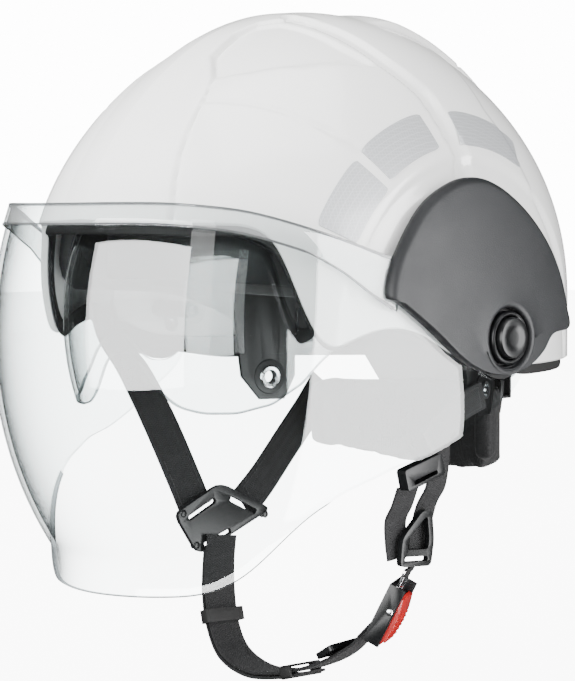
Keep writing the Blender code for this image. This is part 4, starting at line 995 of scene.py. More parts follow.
@dataclass
class Repeated:
    """Many copies of one small detail, set out by Geometry Nodes and made into one mesh."""

    name: str
    shape: Shape
    size: tuple[float, float, float]
    material: bpy.types.Material
    places: list[tuple[np.ndarray, np.ndarray, np.ndarray]] = field(default_factory=list)

    def put(self, place: Sequence[float], along: Sequence[float], normal: Sequence[float]) -> None:
        """Add one place.

        Args:
            place: Middle of the detail, in millimetres.
            along: Direction of its length.
            normal: Direction of its height.
        """
        self.places.append(tuple(np.array(v, float) for v in (place, along, normal)))

    def _group(self) -> bpy.types.NodeTree:
        """Build the Geometry Nodes group.

        Returns:
            The group.
        """
        group = bpy.data.node_groups.new(f"{self.name}_layout", "GeometryNodeTree")
        sockets = group.interface
        sockets.new_socket("Geometry", in_out="INPUT", socket_type="NodeSocketGeometry")
        sockets.new_socket("Detail Size", in_out="INPUT", socket_type="NodeSocketVector")
        sockets.new_socket("Finish", in_out="INPUT", socket_type="NodeSocketMaterial")
        sockets.new_socket("Geometry", in_out="OUTPUT", socket_type="NodeSocketGeometry")
        start = group.nodes.new("NodeGroupInput")
        end = group.nodes.new("NodeGroupOutput")
        turn = group.nodes.new("GeometryNodeInputNamedAttribute")
        turn.data_type = "FLOAT_VECTOR"
        turn.inputs["Name"].default_value = "turn"
        euler = group.nodes.new("FunctionNodeEulerToRotation")
        copies = group.nodes.new("GeometryNodeInstanceOnPoints")
        if self.shape is Shape.BEAD:
            detail = group.nodes.new("GeometryNodeMeshUVSphere")
            detail.inputs["Segments"].default_value = 12
            detail.inputs["Rings"].default_value = 6
            detail.inputs["Radius"].default_value = 0.5
        else:
            detail = group.nodes.new("GeometryNodeMeshCube")
        smooth_faces = group.nodes.new("GeometryNodeSetShadeSmooth")
        smooth_faces.inputs["Shade Smooth"].default_value = self.shape is Shape.BEAD
        real = group.nodes.new("GeometryNodeRealizeInstances")
        paint = group.nodes.new("GeometryNodeSetMaterial")
        link = group.links.new
        link(start.outputs["Geometry"], copies.inputs["Points"])
        link(turn.outputs["Attribute"], euler.inputs[0])
        link(euler.outputs[0], copies.inputs["Rotation"])
        link(detail.outputs["Mesh"], smooth_faces.inputs["Geometry"])
        link(smooth_faces.outputs["Geometry"], copies.inputs["Instance"])
        link(start.outputs["Detail Size"], copies.inputs["Scale"])
        link(copies.outputs["Instances"], real.inputs["Geometry"])
        link(real.outputs["Geometry"], paint.inputs["Geometry"])
        link(start.outputs["Finish"], paint.inputs["Material"])
        link(paint.outputs["Geometry"], end.inputs["Geometry"])
        return group

    def build(self) -> bpy.types.Object:
        """Set out the copies and bake them.

        Returns:
            One object that holds them all.
        """
        mesh = bpy.data.meshes.new(f"{self.name}_points")
        mesh.from_pydata([tuple(p * MM) for p, _, _ in self.places], [], [])
        turns = []
        for _, along, normal in self.places:
            x_axis = Vector(along).normalized()
            z_axis = Vector(normal)
            z_axis = (z_axis - x_axis * z_axis.dot(x_axis)).normalized()
            matrix = Matrix((x_axis, z_axis.cross(x_axis), z_axis)).transposed()
            turns.extend(matrix.to_euler())
        mesh.attributes.new("turn", "FLOAT_VECTOR", "POINT").data.foreach_set("vector", turns)
        obj = bpy.data.objects.new(f"{self.name}_source", mesh)
        bpy.context.scene.collection.objects.link(obj)
        layout = obj.modifiers.new("layout", "NODES")
        layout.node_group = self._group()
        values = {"Detail Size": [s * MM for s in self.size], "Finish": self.material}
        for item in layout.node_group.interface.items_tree:
            if item.in_out == "INPUT" and item.name in values:
                layout[item.identifier] = values[item.name]
        return bake(obj, self.name)


def bake(obj: bpy.types.Object, name: str) -> bpy.types.Object:
    """Replace an object by the mesh that its modifiers give.

    Args:
        obj: The object.
        name: Name of the finished piece.

    Returns:
        The finished object, with no modifiers.
    """
    bpy.context.view_layer.update()
    graph = bpy.context.evaluated_depsgraph_get()
    mesh = bpy.data.meshes.new_from_object(obj.evaluated_get(graph))
    mesh.name = name
    bpy.data.objects.remove(obj, do_unlink=True)
    done = bpy.data.objects.new(name, mesh)
    bpy.context.scene.collection.objects.link(done)
    return done


# ---- Shell ---------------------------------------------------------------------------------------


def distance_to_line(points: np.ndarray, line: Sequence[Sequence[float]]) -> np.ndarray:
    """Measure how far points are from a line of straight pieces.

    Args:
        points: Points, one a row.
        line: The line's corners.

    Returns:
        The distances.
    """
    corners = np.asarray(line, float)
    best = np.full(len(points), 1e9)
    for start, end in zip(corners, corners[1:]):
        span = end - start
        share = np.clip((points - start) @ span / (span @ span), 0, 1)
        best = np.minimum(best, np.linalg.norm(points - start - share[:, None] * span, axis=1))
    return best


def inside_outline(points: np.ndarray, outline: Sequence[Sequence[float]], soft: float) -> np.ndarray:
    """Say how far inside an outline flat points are.

    Args:
        points: Flat points, one a row.
        outline: Corners of the outline.
        soft: Width over which the share goes from 0 to 1.

    Returns:
        1 well inside and 0 well outside.
    """
    corners = np.asarray(outline, float)
    inside = np.zeros(len(points), bool)
    x, y = points[:, 0], points[:, 1]
    for (x0, y0), (x1, y1) in zip(corners, np.roll(corners, -1, 0)):
        if y0 == y1:
            continue
        crosses = ((y0 > y) != (y1 > y)) & (x < (x1 - x0) * (y - y0) / (y1 - y0) + x0)
        inside ^= crosses
    closed = np.vstack([corners, corners[:1]])
    away = distance_to_line(points, closed) * np.where(inside, 1, -1)
    return smooth(-soft / 2, soft / 2, away)


class ShellForm:
    """The outer shell's surface: a smooth egg with the ribs, seams and recesses of its panels."""

    channel: Table = (
        (20, -26, 156), (45, -18, 148), (68, -10, 133), (84, 1, 118), (97, 4, 103), (105, 7, 88),
        (110, 4, 78),
    )
    side_seam: Table = ((35, -97, 113), (54, -85, 111), (66, -77, 108), (81, -65, 100), (94, -52, 89))
    facet: Table = (
        (16, -76), (30, -86), (42, -74), (55, -54), (63, -35), (70, -17), (55, -26), (38, -31),
        (22, -36), (15, -45), (13, -57),
    )
    panel: Table = (
        (15, 49), (21, 47), (27, 43), (36, 38), (43.5, 35), (46, 34), (51.7, 29), (58.6, 17),
        (66.5, 13), (73, 14), (77.4, 21), (84, 30),
    )
    rear_panel: Table = (
        (47, 112), (58, 84), (62, 71), (76, 49), (92, 14), (98, -30), (170, -30), (170, 60),
        (125, 112), (85, 142), (52, 142),
    )

    panel_step: float = 1.1
    panel_groove: float = 0.7
    brow_rise: float = 1.6
    channel_depth: float = 2.3
    side_seam_depth: float = 0.8
    facet_depth: float = 1.5
    cover_recess: float = 1.5
    rear_step: float = 0.9
    crest_height: float = 4.2
    crest_rib: float = 1.2
    crest_groove: float = 0.8

    def base(self, angle: np.ndarray, rise: np.ndarray, inset: float = 0.0) -> np.ndarray:
        """Give points of the smooth egg.

        Args:
            angle: Angles round from the brow.
            rise: Rises from the widest level.
            inset: How far inside the outer surface.

        Returns:
            The points.
        """
        up = np.maximum(np.sin(rise), 0)
        reach = np.where(rise > 0, np.cos(rise) * (1 - SHELL_TAPER * up**3), 1.0)
        lean = SHELL_LEAN * up**1.5 * np.sqrt(np.maximum(np.cos(rise), 0))
        length = np.where(np.cos(angle) > 0, SHELL_FRONT, SHELL_REAR) - inset
        height = np.where(rise > 0, (SHELL_RISE - inset) * up, SHELL_RISE * rise)
        return np.stack(
            [
                (SHELL_HALF_WIDTH - inset) * reach * np.sin(angle),
                -length * reach * np.cos(angle) + np.where(rise > 0, lean, 0),
                SHELL_WIDEST + height,
            ],
            -1,
        )

    def relief(self, points: np.ndarray) -> np.ndarray:
        """Give how far the real surface stands out from the smooth egg.

        Args:
            points: Points of the egg, one a row.

        Returns:
            Heights in millimetres.
        """
        half = points.copy()
        half[:, 0] = np.abs(half[:, 0])
        x, y, z = half.T
        turn = np.degrees(np.arctan2(z - SHELL_WIDEST, -y))
        edge = read_table(self.panel, np.where(turn < 0, 90, turn))
        front = smooth(12, 4, y) * np.where(turn < 84, 1, 0)
        height = self.panel_step * (1 - smooth(edge - 0.9, edge + 0.9, x)) * front * smooth(86, 78, turn)
        height += self.brow_rise * np.clip(1 - x / 20, 0, 1) * smooth(78, 62, turn) * smooth(12, 4, y)
        groove = 1 - smooth(0.4, 1.6, np.abs(x - edge))
        height -= self.panel_groove * groove * front * smooth(84, 76, turn)
        height -= self.channel_depth * (1 - smooth(3.6, 5.6, distance_to_line(half, self.channel)))
        seam = 1 - smooth(0.5, 1.9, distance_to_line(half, self.side_seam))
        height -= self.side_seam_depth * seam
        height -= self.facet_depth * inside_outline(half[:, :2], self.facet, 2.4) * (z > 100)
        about = np.hypot(y - SHIELD_PIVOT[1], z - SHIELD_PIVOT[2])
        side = smooth(50, 62, x)
        height -= self.cover_recess * (1 - smooth(84.5, 87.5, about)) * side
        rear = inside_outline(half[:, 1:], self.rear_panel, 2.0)
        height -= self.rear_step * rear * smooth(28, 36, x)
        crest = smooth(34, 29, x) * smooth(14, 40, y) * smooth(40, 70, z)
        height += self.crest_height * crest
        height += self.crest_rib * smooth(20, 16, x) * smooth(52, 56, y) * smooth(60, 90, z)
        height -= self.crest_groove * (1 - smooth(0.5, 1.6, np.abs(y - 84))) * crest
        return height

    def surface(self, angle: np.ndarray, rise: np.ndarray, lift: float = 0.0) -> np.ndarray:
        """Give points of the real surface.

        Args:
            angle: Angles round from the brow.
            rise: Rises from the widest level.
            lift: Height above the surface.

        Returns:
            The points, in the shape of the angles.
        """
        small = 1e-3
        points = self.base(angle, rise)
        round_step = self.base(angle + small, rise) - points
        up_step = self.base(angle, rise + small) - points
        normals = unit(np.cross(round_step, up_step))
        flat = points.reshape(-1, 3)
        outward = np.where(
            np.sum(normals * (points - HEAD_MIDDLE), -1, keepdims=True) > 0, 1, -1
        )
        heights = self.relief(flat).reshape(points.shape[:-1])
        return points + normals * outward * (heights + lift)[..., None]

    def at_side(self, y: np.ndarray, z: np.ndarray, lift: float) -> np.ndarray:
        """Give points of the left side, seen from the side.

        Args:
            y: Distances along the helmet.
            z: Heights.
            lift: Height above the surface.

        Returns:
            The points.
        """
        rise = np.arcsin(np.clip((z - SHELL_WIDEST) / SHELL_RISE, -1, 1))
        up = np.maximum(np.sin(rise), 0)
        reach = np.cos(rise) * (1 - SHELL_TAPER * up**3)
        lean = SHELL_LEAN * up**1.5 * np.sqrt(np.maximum(np.cos(rise), 0))
        length = np.where(y < lean, SHELL_FRONT, SHELL_REAR)
        angle = np.arccos(np.clip(-(y - lean) / (length * reach), -1, 1))
        return self.surface(angle, rise, lift)


@dataclass
class Shell:
    """The outer shell, its edge trim and its tapes."""

    finishes: Finishes
    form: ShellForm = field(default_factory=ShellForm)
    columns: int = 480
    rows: int = 150
    inner_rows: int = 25
    gather: float = 0.16

    def edge_heights(self, angles: np.ndarray) -> np.ndarray:
        """Give the height of the shell's lower edge.

        Args:
            angles: Angles round from the brow, in radians.

        Returns:
            Heights in millimetres.
        """
        degrees = np.degrees(np.abs((angles + math.pi) % (2 * math.pi) - math.pi))
        return soften(read_table(SHELL_EDGE, degrees), 5, closed=True)

    def angles(self) -> np.ndarray:
        """List the angles of the columns, closer together at the corners of the face opening.

        Returns:
            Angles in radians, from 0 up to a whole turn.
        """
        even = np.linspace(0, 2 * math.pi, self.columns, endpoint=False)
        return even - self.gather * np.sin(2 * even)

    def build(self) -> list[bpy.types.Object]:
        """Build the pieces.

        Returns:
            The pieces.
        """
        angles = self.angles()
        low = self.edge_heights(angles)
        over = (low - SHELL_WIDEST) / SHELL_RISE
        start = np.where(over > 0, np.arcsin(np.clip(over, 0, 1)), over)
        shares = np.linspace(0, 1, self.rows + 1)[:-1]
        rise = start[None] + (math.pi / 2 - start[None]) * shares[:, None]
        outer = self.form.surface(np.broadcast_to(angles, rise.shape), rise)
        few = shares[:: self.rows // self.inner_rows]
        inner_rise = start[None] + (math.pi / 2 - start[None]) * few[:, None]
        inner = self.form.base(np.broadcast_to(angles, inner_rise.shape), inner_rise, SHELL_WALL)
        rim = (outer[:1] + inner[:1]) / 2 - np.array([0, 0, EDGE_ROUND])
        wall = np.concatenate([inner[::-1], rim, outer])
        points = wall.reshape(-1, 3)
        tops = [self.form.base(np.zeros(1), np.full(1, math.pi / 2), inset) for inset in (SHELL_WALL, 0)]
        tops[1] = tops[1] + np.array([0, 0, float(self.form.relief(tops[1])[0])])
        faces = grid_faces(len(wall), self.columns, True)
        last = (len(wall) - 1) * self.columns
        for c in range(self.columns):
            d = (c + 1) % self.columns
            faces.append((c, d, len(points)))
            faces.append((last + c, last + d, len(points) + 1))
        shell = mesh_object(
            "shell_skin", np.concatenate([points, *tops]), faces, self.finishes.shell, 50
        )
        attach(shell, "outer_shell", ["outer_shell"])
        return [shell, self._trim(angles, low), *self._tapes()]

    def _trim(self, angles: np.ndarray, low: np.ndarray) -> bpy.types.Object:
        """Build the rubber edge trim.

        Args:
            angles: Angles of the columns.
            low: Heights of the shell's edge.

        Returns:
            The trim.
        """
        degrees = np.degrees(np.abs((angles + math.pi) % (2 * math.pi) - math.pi))
        drop = soften(read_table(TRIM_DROP, degrees), 5, closed=True)
        rows_out, rows_in = [], []
        for share, inset in TRIM_SECTION:
            height = low - drop + (drop + TRIM_GRIP) * share
            over = (height - SHELL_WIDEST) / SHELL_RISE
            rise = np.where(over > 0, np.arcsin(np.clip(over, 0, 1)), over)
            rows_out.append(self.form.base(angles, rise, inset))
            inner = TRIM_GAP + TRIM_WALL - (inset - TRIM_GAP)
            rows_in.append(self.form.base(angles, rise, inner))
        trim = skin(
            "edge_trim", np.array(rows_out), np.array(rows_in), self.finishes.rubber, 0.5, True
        )
        return attach(trim, "shell_edge_trim", ["shell_edge_trim"])

    def _tapes(self) -> list[bpy.types.Object]:
        """Lay the reflective tapes on the shell.

        Returns:
            The tapes.
        """
        made = []
        for label, start, end, inner, outer in TAPES:
            about = np.radians(np.linspace(start, end, 40))[None]
            radius = np.linspace(inner, outer, 24)[:, None]
            corner = 1.6 * (np.abs(np.linspace(-1, 1, 40)) ** 12)[None]
            radius = radius + corner * np.where(radius > (inner + outer) / 2, -0.6, 0.6)
            y = SHIELD_PIVOT[1] - radius * np.cos(about)
            z = SHIELD_PIVOT[2] + radius * np.sin(about)
            for name, side in (("left", 1), ("right", -1)):
                flip = np.array([side, 1, 1])
                top = self.form.at_side(y, z, TAPE_TOP) * flip
                bottom = self.form.at_side(y, z, TAPE_UNDER) * flip
                tape = skin(f"film_{label}_{name}", top, bottom, self.finishes.tape, 0.05)
                node = f"tape_{label}_{name}"
                made.append(attach(tape, node, [node]))
        return made


# ---- Shields -------------------------------------------------------------------------------------


def shield_point(meridian: np.ndarray, angle: np.ndarray, out: np.ndarray | float = 0) -> np.ndarray:
    """Give points of the face shield.

    Args:
        meridian: Angles round from the middle plane.
        angle: Angles about the pivot axis.
        out: Distance outwards from the plain surface.

    Returns:
        The points.
    """
    radius = SHIELD_SETBACK + SHIELD_REACH * np.cos(meridian) + out
    return np.stack(
        np.broadcast_arrays(
            SHIELD_HALF_WIDTH * np.sin(meridian),
            SHIELD_PIVOT[1] - radius * np.cos(angle),
            SHIELD_PIVOT[2] + radius * np.sin(angle),
        ),
        -1,
    )


def shield_side(radius: np.ndarray) -> np.ndarray:
    """Give how far out the face shield is at a distance from its pivot axis.

    Args:
        radius: Distances from the axis.

    Returns:
        Distances from the middle plane.
    """
    share = (radius - SHIELD_SETBACK) / SHIELD_REACH
    return SHIELD_HALF_WIDTH * np.sqrt(np.maximum(1 - share**2, 0))


def rim_rows(
    meridian: np.ndarray, top: np.ndarray, band: np.ndarray, levels: Sequence[tuple[float, float]]
) -> np.ndarray:
    """Give rows of points along the face shield's upper edge.

    Args:
        meridian: Angles round from the middle plane.
        top: Angle of the shield's upper edge at each of them.
        band: Angle that the rim takes up below that edge.
        levels: For each row, its share of the way up the rim and its lift.

    Returns:
        The points as rows, columns, three.
    """
    return np.array(
        [shield_point(meridian, top - band * (1 - share), lift) for share, lift in levels]
    )


@dataclass
class Shields:
    """The clear face shield with its frosted rim, and the clear eye shield."""

    finishes: Finishes

    def build(self) -> list[bpy.types.Object]:
        """Build the pieces.

        Returns:
            The pieces.
        """
        return [*self._face(), self._eye()]

    def _face(self) -> list[bpy.types.Object]:
        """Build the face shield and its rim.

        Returns:
            Both pieces.
        """
        end = math.acos((SHIELD_SEAT - SHIELD_SETBACK) / SHIELD_REACH)
        share = np.sin(np.linspace(0, math.pi / 2, 90)) ** 0.9
        meridian = np.concatenate([-end * share[:0:-1], end * share])
        radius = SHIELD_SETBACK + SHIELD_REACH * np.cos(meridian)
        low = soften(np.radians(read_table(SHIELD_BOTTOM, radius)), 3)
        high = soften(np.radians(read_table(SHIELD_TOP, radius)), 3)
        lip = smooth(LIP_START, LIP_FULL, radius)
        drop = math.radians(LIP_DROP_DEGREES)
        rows = [
            shield_point(meridian, low - drop * lip * t, LIP_FLARE * lip * t**1.7)
            for t in np.linspace(1, 0, 9)[:-1]
        ]
        rows += [shield_point(meridian, low + (high - low) * t) for t in np.linspace(0, 1, 64)]
        outer = np.array(rows)
        normals = away_from(grid_normals(outer, False), outer, SHIELD_PIVOT)
        inner = outer - normals * SHIELD_WALL
        face = skin(
            "clear_face_shield", outer, inner, self.finishes.face_clear, 0.7,
            edge=self.finishes.shaded_cut_edge,
        )
        attach(face, "face_shield", ["face_shield"])
        reach = np.abs(meridian) < math.acos((RIM_START - SHIELD_SETBACK) / SHIELD_REACH)
        band = read_table(RIM_WIDTH, radius[reach]) / radius[reach]
        m, top = meridian[reach], high[reach]
        rim_out = rim_rows(m, top, band, [(share, lift + RIM_GAP) for share, lift in RIM_SECTION])
        rim_in = rim_rows(m, top, band, [(share, RIM_UNDER) for share, _ in RIM_SECTION])
        rim = skin(
            "frosted_rim", rim_out, rim_in, self.finishes.rim_clear, 0.2, edge=self.finishes.shaded_cut_edge
        )
        made = [face, attach(rim, "face_shield")]
        for label, first, last, lift in RIM_BEADS:
            shares = (first, (first + last) / 2, last)
            bead_out, bead_in = (
                rim_rows(m, top, band, [(share, lift + up) for share in shares]) for up in (0.5, 0.3)
            )
            # The beads carry the dark grey tint of painted shade.
            bead = skin(f"rim_{label}_line", bead_out, bead_in, self.finishes.rim_bead_shade, 0.1)
            made.append(attach(bead, "face_shield"))
        return made

    def _eye(self) -> bpy.types.Object:
        """Build the eye shield.

        Returns:
            The piece.
        """
        end = math.asin(EYE_END**1.5)
        turn = np.linspace(-end, end, 161)
        x = np.sign(turn) * EYE_HALF_WIDTH * np.sin(np.abs(turn)) ** (2 / 3)
        radius = EYE_RADIUS * (1 - (np.abs(x) / EYE_HALF_WIDTH) ** 3) ** (1 / 3)
        low = soften(read_table(EYE_BOTTOM, np.abs(x)), 4)
        high = soften(read_table(EYE_TOP, np.abs(x)), 4)
        share = np.linspace(0, 1, 40)[:, None]
        height = low[None] + (high - low)[None] * share
        depth = np.sqrt(radius[None] ** 2 - (height - EYE_PIVOT[2]) ** 2)
        outer = np.stack(np.broadcast_arrays(x[None], EYE_PIVOT[1] - depth, height), -1)
        normals = away_from(grid_normals(outer, False), outer, EYE_PIVOT)
        eye = skin(
            "clear_eye_shield", outer, outer - normals * EYE_WALL, self.finishes.eye_clear, 0.8,
            edge=self.finishes.shaded_cut_edge,
        )
        return attach(eye, "eye_shield", ["eye_shield"])


# ---- Side covers and buttons ---------------------------------------------------------------------


@dataclass
class SideCover:
    """One black side cover with its recessed bezel and its push button."""

    finishes: Finishes
    side: int

    @property
    def label(self) -> str:
        """Name of the side."""
        return "left" if self.side > 0 else "right"

    def build(self) -> list[bpy.types.Object]:
        """Build the pieces.

        Returns:
            The pieces.
        """
        flip = np.array([self.side, 1, 1])
        outline = catmull(np.array(COVER_OUTLINE), COVER_SAMPLES, closed=True)
        about = np.arctan2(outline[:, 1] - SHIELD_PIVOT[2], outline[:, 0] - SHIELD_PIVOT[1])
        seat = COVER_HOLE
        hole = np.stack(
            [SHIELD_PIVOT[1] + seat * np.cos(about), SHIELD_PIVOT[2] + seat * np.sin(about)], -1
        )
        top = COVER_LIFT
        steps = [(1.0, top - COVER_SKIRT), (1.0, top - COVER_ROUND)]
        steps += [
            (1 - 0.055 * (1 - math.cos(a)), top - COVER_ROUND + COVER_ROUND * math.sin(a))
            for a in np.radians((15, 30, 45, 60, 75, 90))
        ]
        steps += [(share, top) for share in (0.9, 0.8, 0.65, 0.5, 0.35, 0.22)]
        rings = []
        for share, lift in steps:
            flat = hole + (outline - hole) * share
            radius = np.hypot(flat[:, 0] - SHIELD_PIVOT[1], flat[:, 1] - SHIELD_PIVOT[2])
            rings.append(np.stack([shield_side(radius) + lift, flat[:, 0], flat[:, 1]], -1))
        side = shield_side(np.full(COVER_SAMPLES, seat))
        lip = ((3.2, 0.5), (2.2, 0.7), (1.0, 0.2), (0.3, -0.9), (0.0, -2.2))
        for out, lift in lip:
            wide = (seat + out) / seat
            flat = SHIELD_PIVOT[1:] + (hole - SHIELD_PIVOT[1:]) * wide
            rings.append(
                np.stack([side + (top + lift), flat[:, 0], flat[:, 1]], -1)
            )
        outer = np.array(rings)
        inner = outer - np.array([COVER_WALL, 0, 0])
        inner[:, :, 1:] += (COVER_MIDDLE - inner[:, :, 1:]) * COVER_INSET
        cover = skin(
            f"cover_{self.label}", outer * flip, inner * flip, self.finishes.cover, 0.3, True, 40
        )
        attach(cover, f"side_cover_{self.label}", [f"side_cover_{self.label}"])
        outward = np.array([self.side, 0, 0])
        bezel = lathe(
            f"bezel_{self.label}", BEZEL_PROFILE,
            SHIELD_PIVOT + outward * (SHIELD_HALF_WIDTH + BEZEL_SEAT), outward, self.finishes.black,
        )
        attach(bezel, f"button_bezel_{self.label}", [f"button_bezel_{self.label}"])
        button = lathe(
            f"button_{self.label}", BUTTON_PROFILE,
            SHIELD_PIVOT + outward * (BUTTON_FACE - BUTTON_HEIGHT), outward, self.finishes.black,
        )
        attach(button, f"shield_button_{self.label}", [f"shield_button_{self.label}"])
        return [cover, bezel, button]


# ---- Straps --------------------------------------------------------------------------------------


@dataclass
class Strap:
    """A length of flat webbing through a row of stations."""

    name: str
    node: str
    stations: Sequence[tuple[Sequence[float], Sequence[float]]]
    width: float = WEBBING_WIDTH
    wall: float = WEBBING_WALL
    samples: int = 90
    replaces: Sequence[str] = ()

    def frames(self) -> tuple[np.ndarray, np.ndarray, np.ndarray]:
        """Work out the strap's middle line and its directions.

        Returns:
            Points, directions across and face normals.
        """
        path = catmull([place for place, _ in self.stations], self.samples)
        across = unit(catmull([side for _, side in self.stations], self.samples))
        ahead = unit(np.gradient(path, axis=0))
        across = unit(across - ahead * np.sum(across * ahead, 1, keepdims=True))
        return path, across, unit(np.cross(ahead, across))

    def build(self, material: bpy.types.Material) -> bpy.types.Object:
        """Build the webbing.

        Args:
            material: Its material.

        Returns:
            The piece.
        """
        path, across, face = self.frames()
        half, thick = self.width / 2, self.wall / 2
        flat = np.linspace(-1, 1, 9)
        wide = half - thick * 0.7
        section = [(wide * u, thick) for u in flat] + [(half, 0)]
        section += [(wide * u, -thick) for u in flat[::-1]] + [(-half, 0)]
        length = np.concatenate([[0], np.cumsum(np.linalg.norm(np.diff(path, axis=0), axis=1))])
        rows, uvs = [], []
        for u, v in section:
            rows.append(path + across * u + face * v)
            uvs.append(np.stack([np.full(len(path), u + half), length], -1))
        grid = np.stack(rows, 1)
        uv = np.stack(uvs, 1).reshape(-1, 2)
        columns = len(section)
        faces = grid_faces(len(path), columns, True)
        faces.append(list(range(columns)))
        faces.append(list(range((len(path) - 1) * columns, len(path) * columns)))
        strap = mesh_object(self.name, grid.reshape(-1, 3), faces, material, 50, uv)
        return attach(strap, self.node, self.replaces)

    def stitch(self, stitches: Repeated, start: float, end: float, count: int = 16) -> None:
        """Sew two rows along the edges and one across, on the strap's outer face.

        Args:
            stitches: Where the stitches are gathered.
            start: Share of the length at which the sewing starts.
            end: Share at which it ends.
            count: Stitches in each row.
        """
        path, across, face = self.frames()
        last = self.samples - 1
        for lift in (1, -1):
            for offset in (-0.36, 0.36):
                for share in np.linspace(start, end, count):
                    i = min(int(round(share * last)), last - 1)
                    place = path[i] + across[i] * offset * self.width
                    place = place + face[i] * lift * self.wall / 2
                    stitches.put(place, path[i + 1] - path[i], face[i] * lift)
            i = int(round(end * last))
            for u in np.linspace(-0.32, 0.32, 7):
                place = path[i] + across[i] * u * self.width + face[i] * lift * self.wall / 2
                stitches.put(place, across[i], face[i] * lift)


@dataclass
class Harness:
    """The webbing of the chin harness and the cradle, with its stitching."""

    finishes: Finishes

    def build(self) -> list[bpy.types.Object]:
        """Build the pieces.

        Returns:
            The pieces.
        """
        straps = [
            Strap(
                "webbing_front_right", "front_strap_right",
                [
                    ((-102, -48, 12), (0.2, -0.98, 0)), ((-95, -47, -6), (0.15, -0.98, 0)),
                    ((-84, -41, -23), (0, -0.99, -0.1)), ((-75, -31, -50), (-0.1, -0.97, -0.2)),
                    ((-66.5, -21.5, -80), (-0.1, -0.96, -0.25)),
                    ((-63.2, -16, -96), (-0.1, -0.96, -0.25)),
                ],
                replaces=["front_strap_right"],
            ),
            Strap(
                "webbing_rear_right", "rear_strap_right",
                [
                    ((-74.5, 90, -34), (0, -0.7, 0.71)), ((-76.5, 79, -49), (0, -0.64, 0.77)),
                    ((-72.5, 58, -66.5), (0, -0.6, 0.8)), ((-65.5, 34, -84), (0, -0.6, 0.8)),
                    ((-63.4, 18, -96), (0, -0.6, 0.8)),
                ],
                replaces=["rear_strap_right"],
            ),
            Strap(
                "webbing_chin", "chin_strap",
                [
                    ((-55, -5, -110), (0, 0.98, 0.2)), ((-55.2, -6.5, -124), (0, 0.98, 0.1)),
                    ((-53.5, -8, -138), (0, 1, 0.05)), ((-49, -9, -156), (0, 1, 0)),
                    ((-41, -8, -170), (0, 1, 0)), ((-25, -5, -177.5), (0, 1, 0)),
                    ((-5, -1, -176.5), (0, 1, 0)), ((15, 1, -170.5), (-0.05, 1, 0)),
                    ((30, 1.5, -163.5), (-0.15, 0.98, 0)), ((42.5, 0.5, -155), (-0.35, 0.93, 0)),
                    ((50.6, -1.8, -146.7), (-0.48, 0.87, 0)),
                ],
                samples=160, replaces=["chin_strap"],
            ),
            Strap(
                "webbing_chin_tail", "chin_strap",
                [
                    ((-56.6, -6.2, -118), (0, 0.98, 0.1)), ((-55.8, -8, -138), (0, 1, 0.05)),
                    ((-51.4, -9, -156.6), (0, 1, 0)), ((-42.6, -8, -172.2), (0, 1, 0)),
                    ((-25.6, -5, -179.9), (0, 1, 0)), ((-5, -1, -178.9), (0, 1, 0)),
                    ((8, 0.5, -175.4), (-0.02, 1, 0)),
                ],
                samples=110,
            ),
            Strap(
                "webbing_front_left", "front_strap_left",
                [
                    ((80, -4.5, -74.5), (0.05, 0.99, 0)), ((75.5, -4, -84), (0.05, 0.99, 0)),
                    ((70.2, -3, -92), (0.05, 0.99, 0)), ((69, -1.5, -103), (0.05, 0.99, 0)),
                    ((69.4, -0.5, -111), (0.05, 0.99, 0)),
                ],
                width=NARROW_WIDTH, replaces=["front_strap_left"],
            ),
            Strap(
                "webbing_rear_left", "rear_strap_left",
                [
                    ((80, 18.5, -50), (0, 0.99, 0.1)), ((80, 18, -64), (0, 0.99, 0.1)),
                    ((77.5, 18, -76), (0, 1, 0)), ((71.2, 18, -86), (0, 1, 0)),
                    ((69, 15, -102), (0, 1, 0)), ((69.4, 13.8, -111), (0, 1, 0)),
                ],
                width=NARROW_WIDTH, replaces=["rear_strap_left"],
            ),
            Strap(
                "webbing_hanger_left", "hanger_strap_left",
                [
                    ((86, 3, -53.5), (0, 0.96, 0.26)), ((86.6, 12, -45.5), (0, 0.85, -0.53)),
                    ((86.8, 28, -36), (0, 0.5, -0.86)), ((85.6, 44, -31), (0, 0.3, -0.95)),
                ],
                width=NARROW_WIDTH, replaces=["hanger_strap_left"],
            ),
        ]
        for name, span, lift, ahead in (("side", 82.8, 125, False), ("front", 104.8, 127.5, True)):
            stations = []
            for turn in np.radians(np.linspace(8, 172, 15)):
                along = span * math.cos(turn)
                rise = (lift - CRADLE_LEVEL) * math.sin(turn)
                height = CRADLE_LEVEL + rise - CRADLE_WALL / 2
                place = (0, along, height) if ahead else (along, 4, height)
                stations.append((place, (1, 0, 0) if ahead else (0, 1, 0)))
            node = f"cradle_strap_{name}"
            straps.append(
                Strap(
                    f"webbing_cradle_{name}", node, stations, CRADLE_WIDTH, CRADLE_WALL, 80, [node]
                )
            )
        stitches = Repeated("strap_stitches", Shape.BEAD, (1.9, 0.55, 0.45), self.finishes.thread)
        made = [strap.build(self.finishes.webbing) for strap in straps]
        straps[0].stitch(stitches, 0.72, 0.92)
        straps[1].stitch(stitches, 0.66, 0.9)
        straps[3].stitch(stitches, 0.03, 0.16)
        straps[6].stitch(stitches, 0.55, 0.9, 10)
        sewn = attach(stitches.build(), "chin_strap")
        return [*made, sewn]


# ---- Rigid fittings, rounded from their CAD solids -----------------------------------------------


@dataclass(frozen=True)
class Rounding:
    """How far the edges of a rigid CAD solid are rounded, and in how many steps."""

    node: str
    width_mm: float
    segments: int = 3


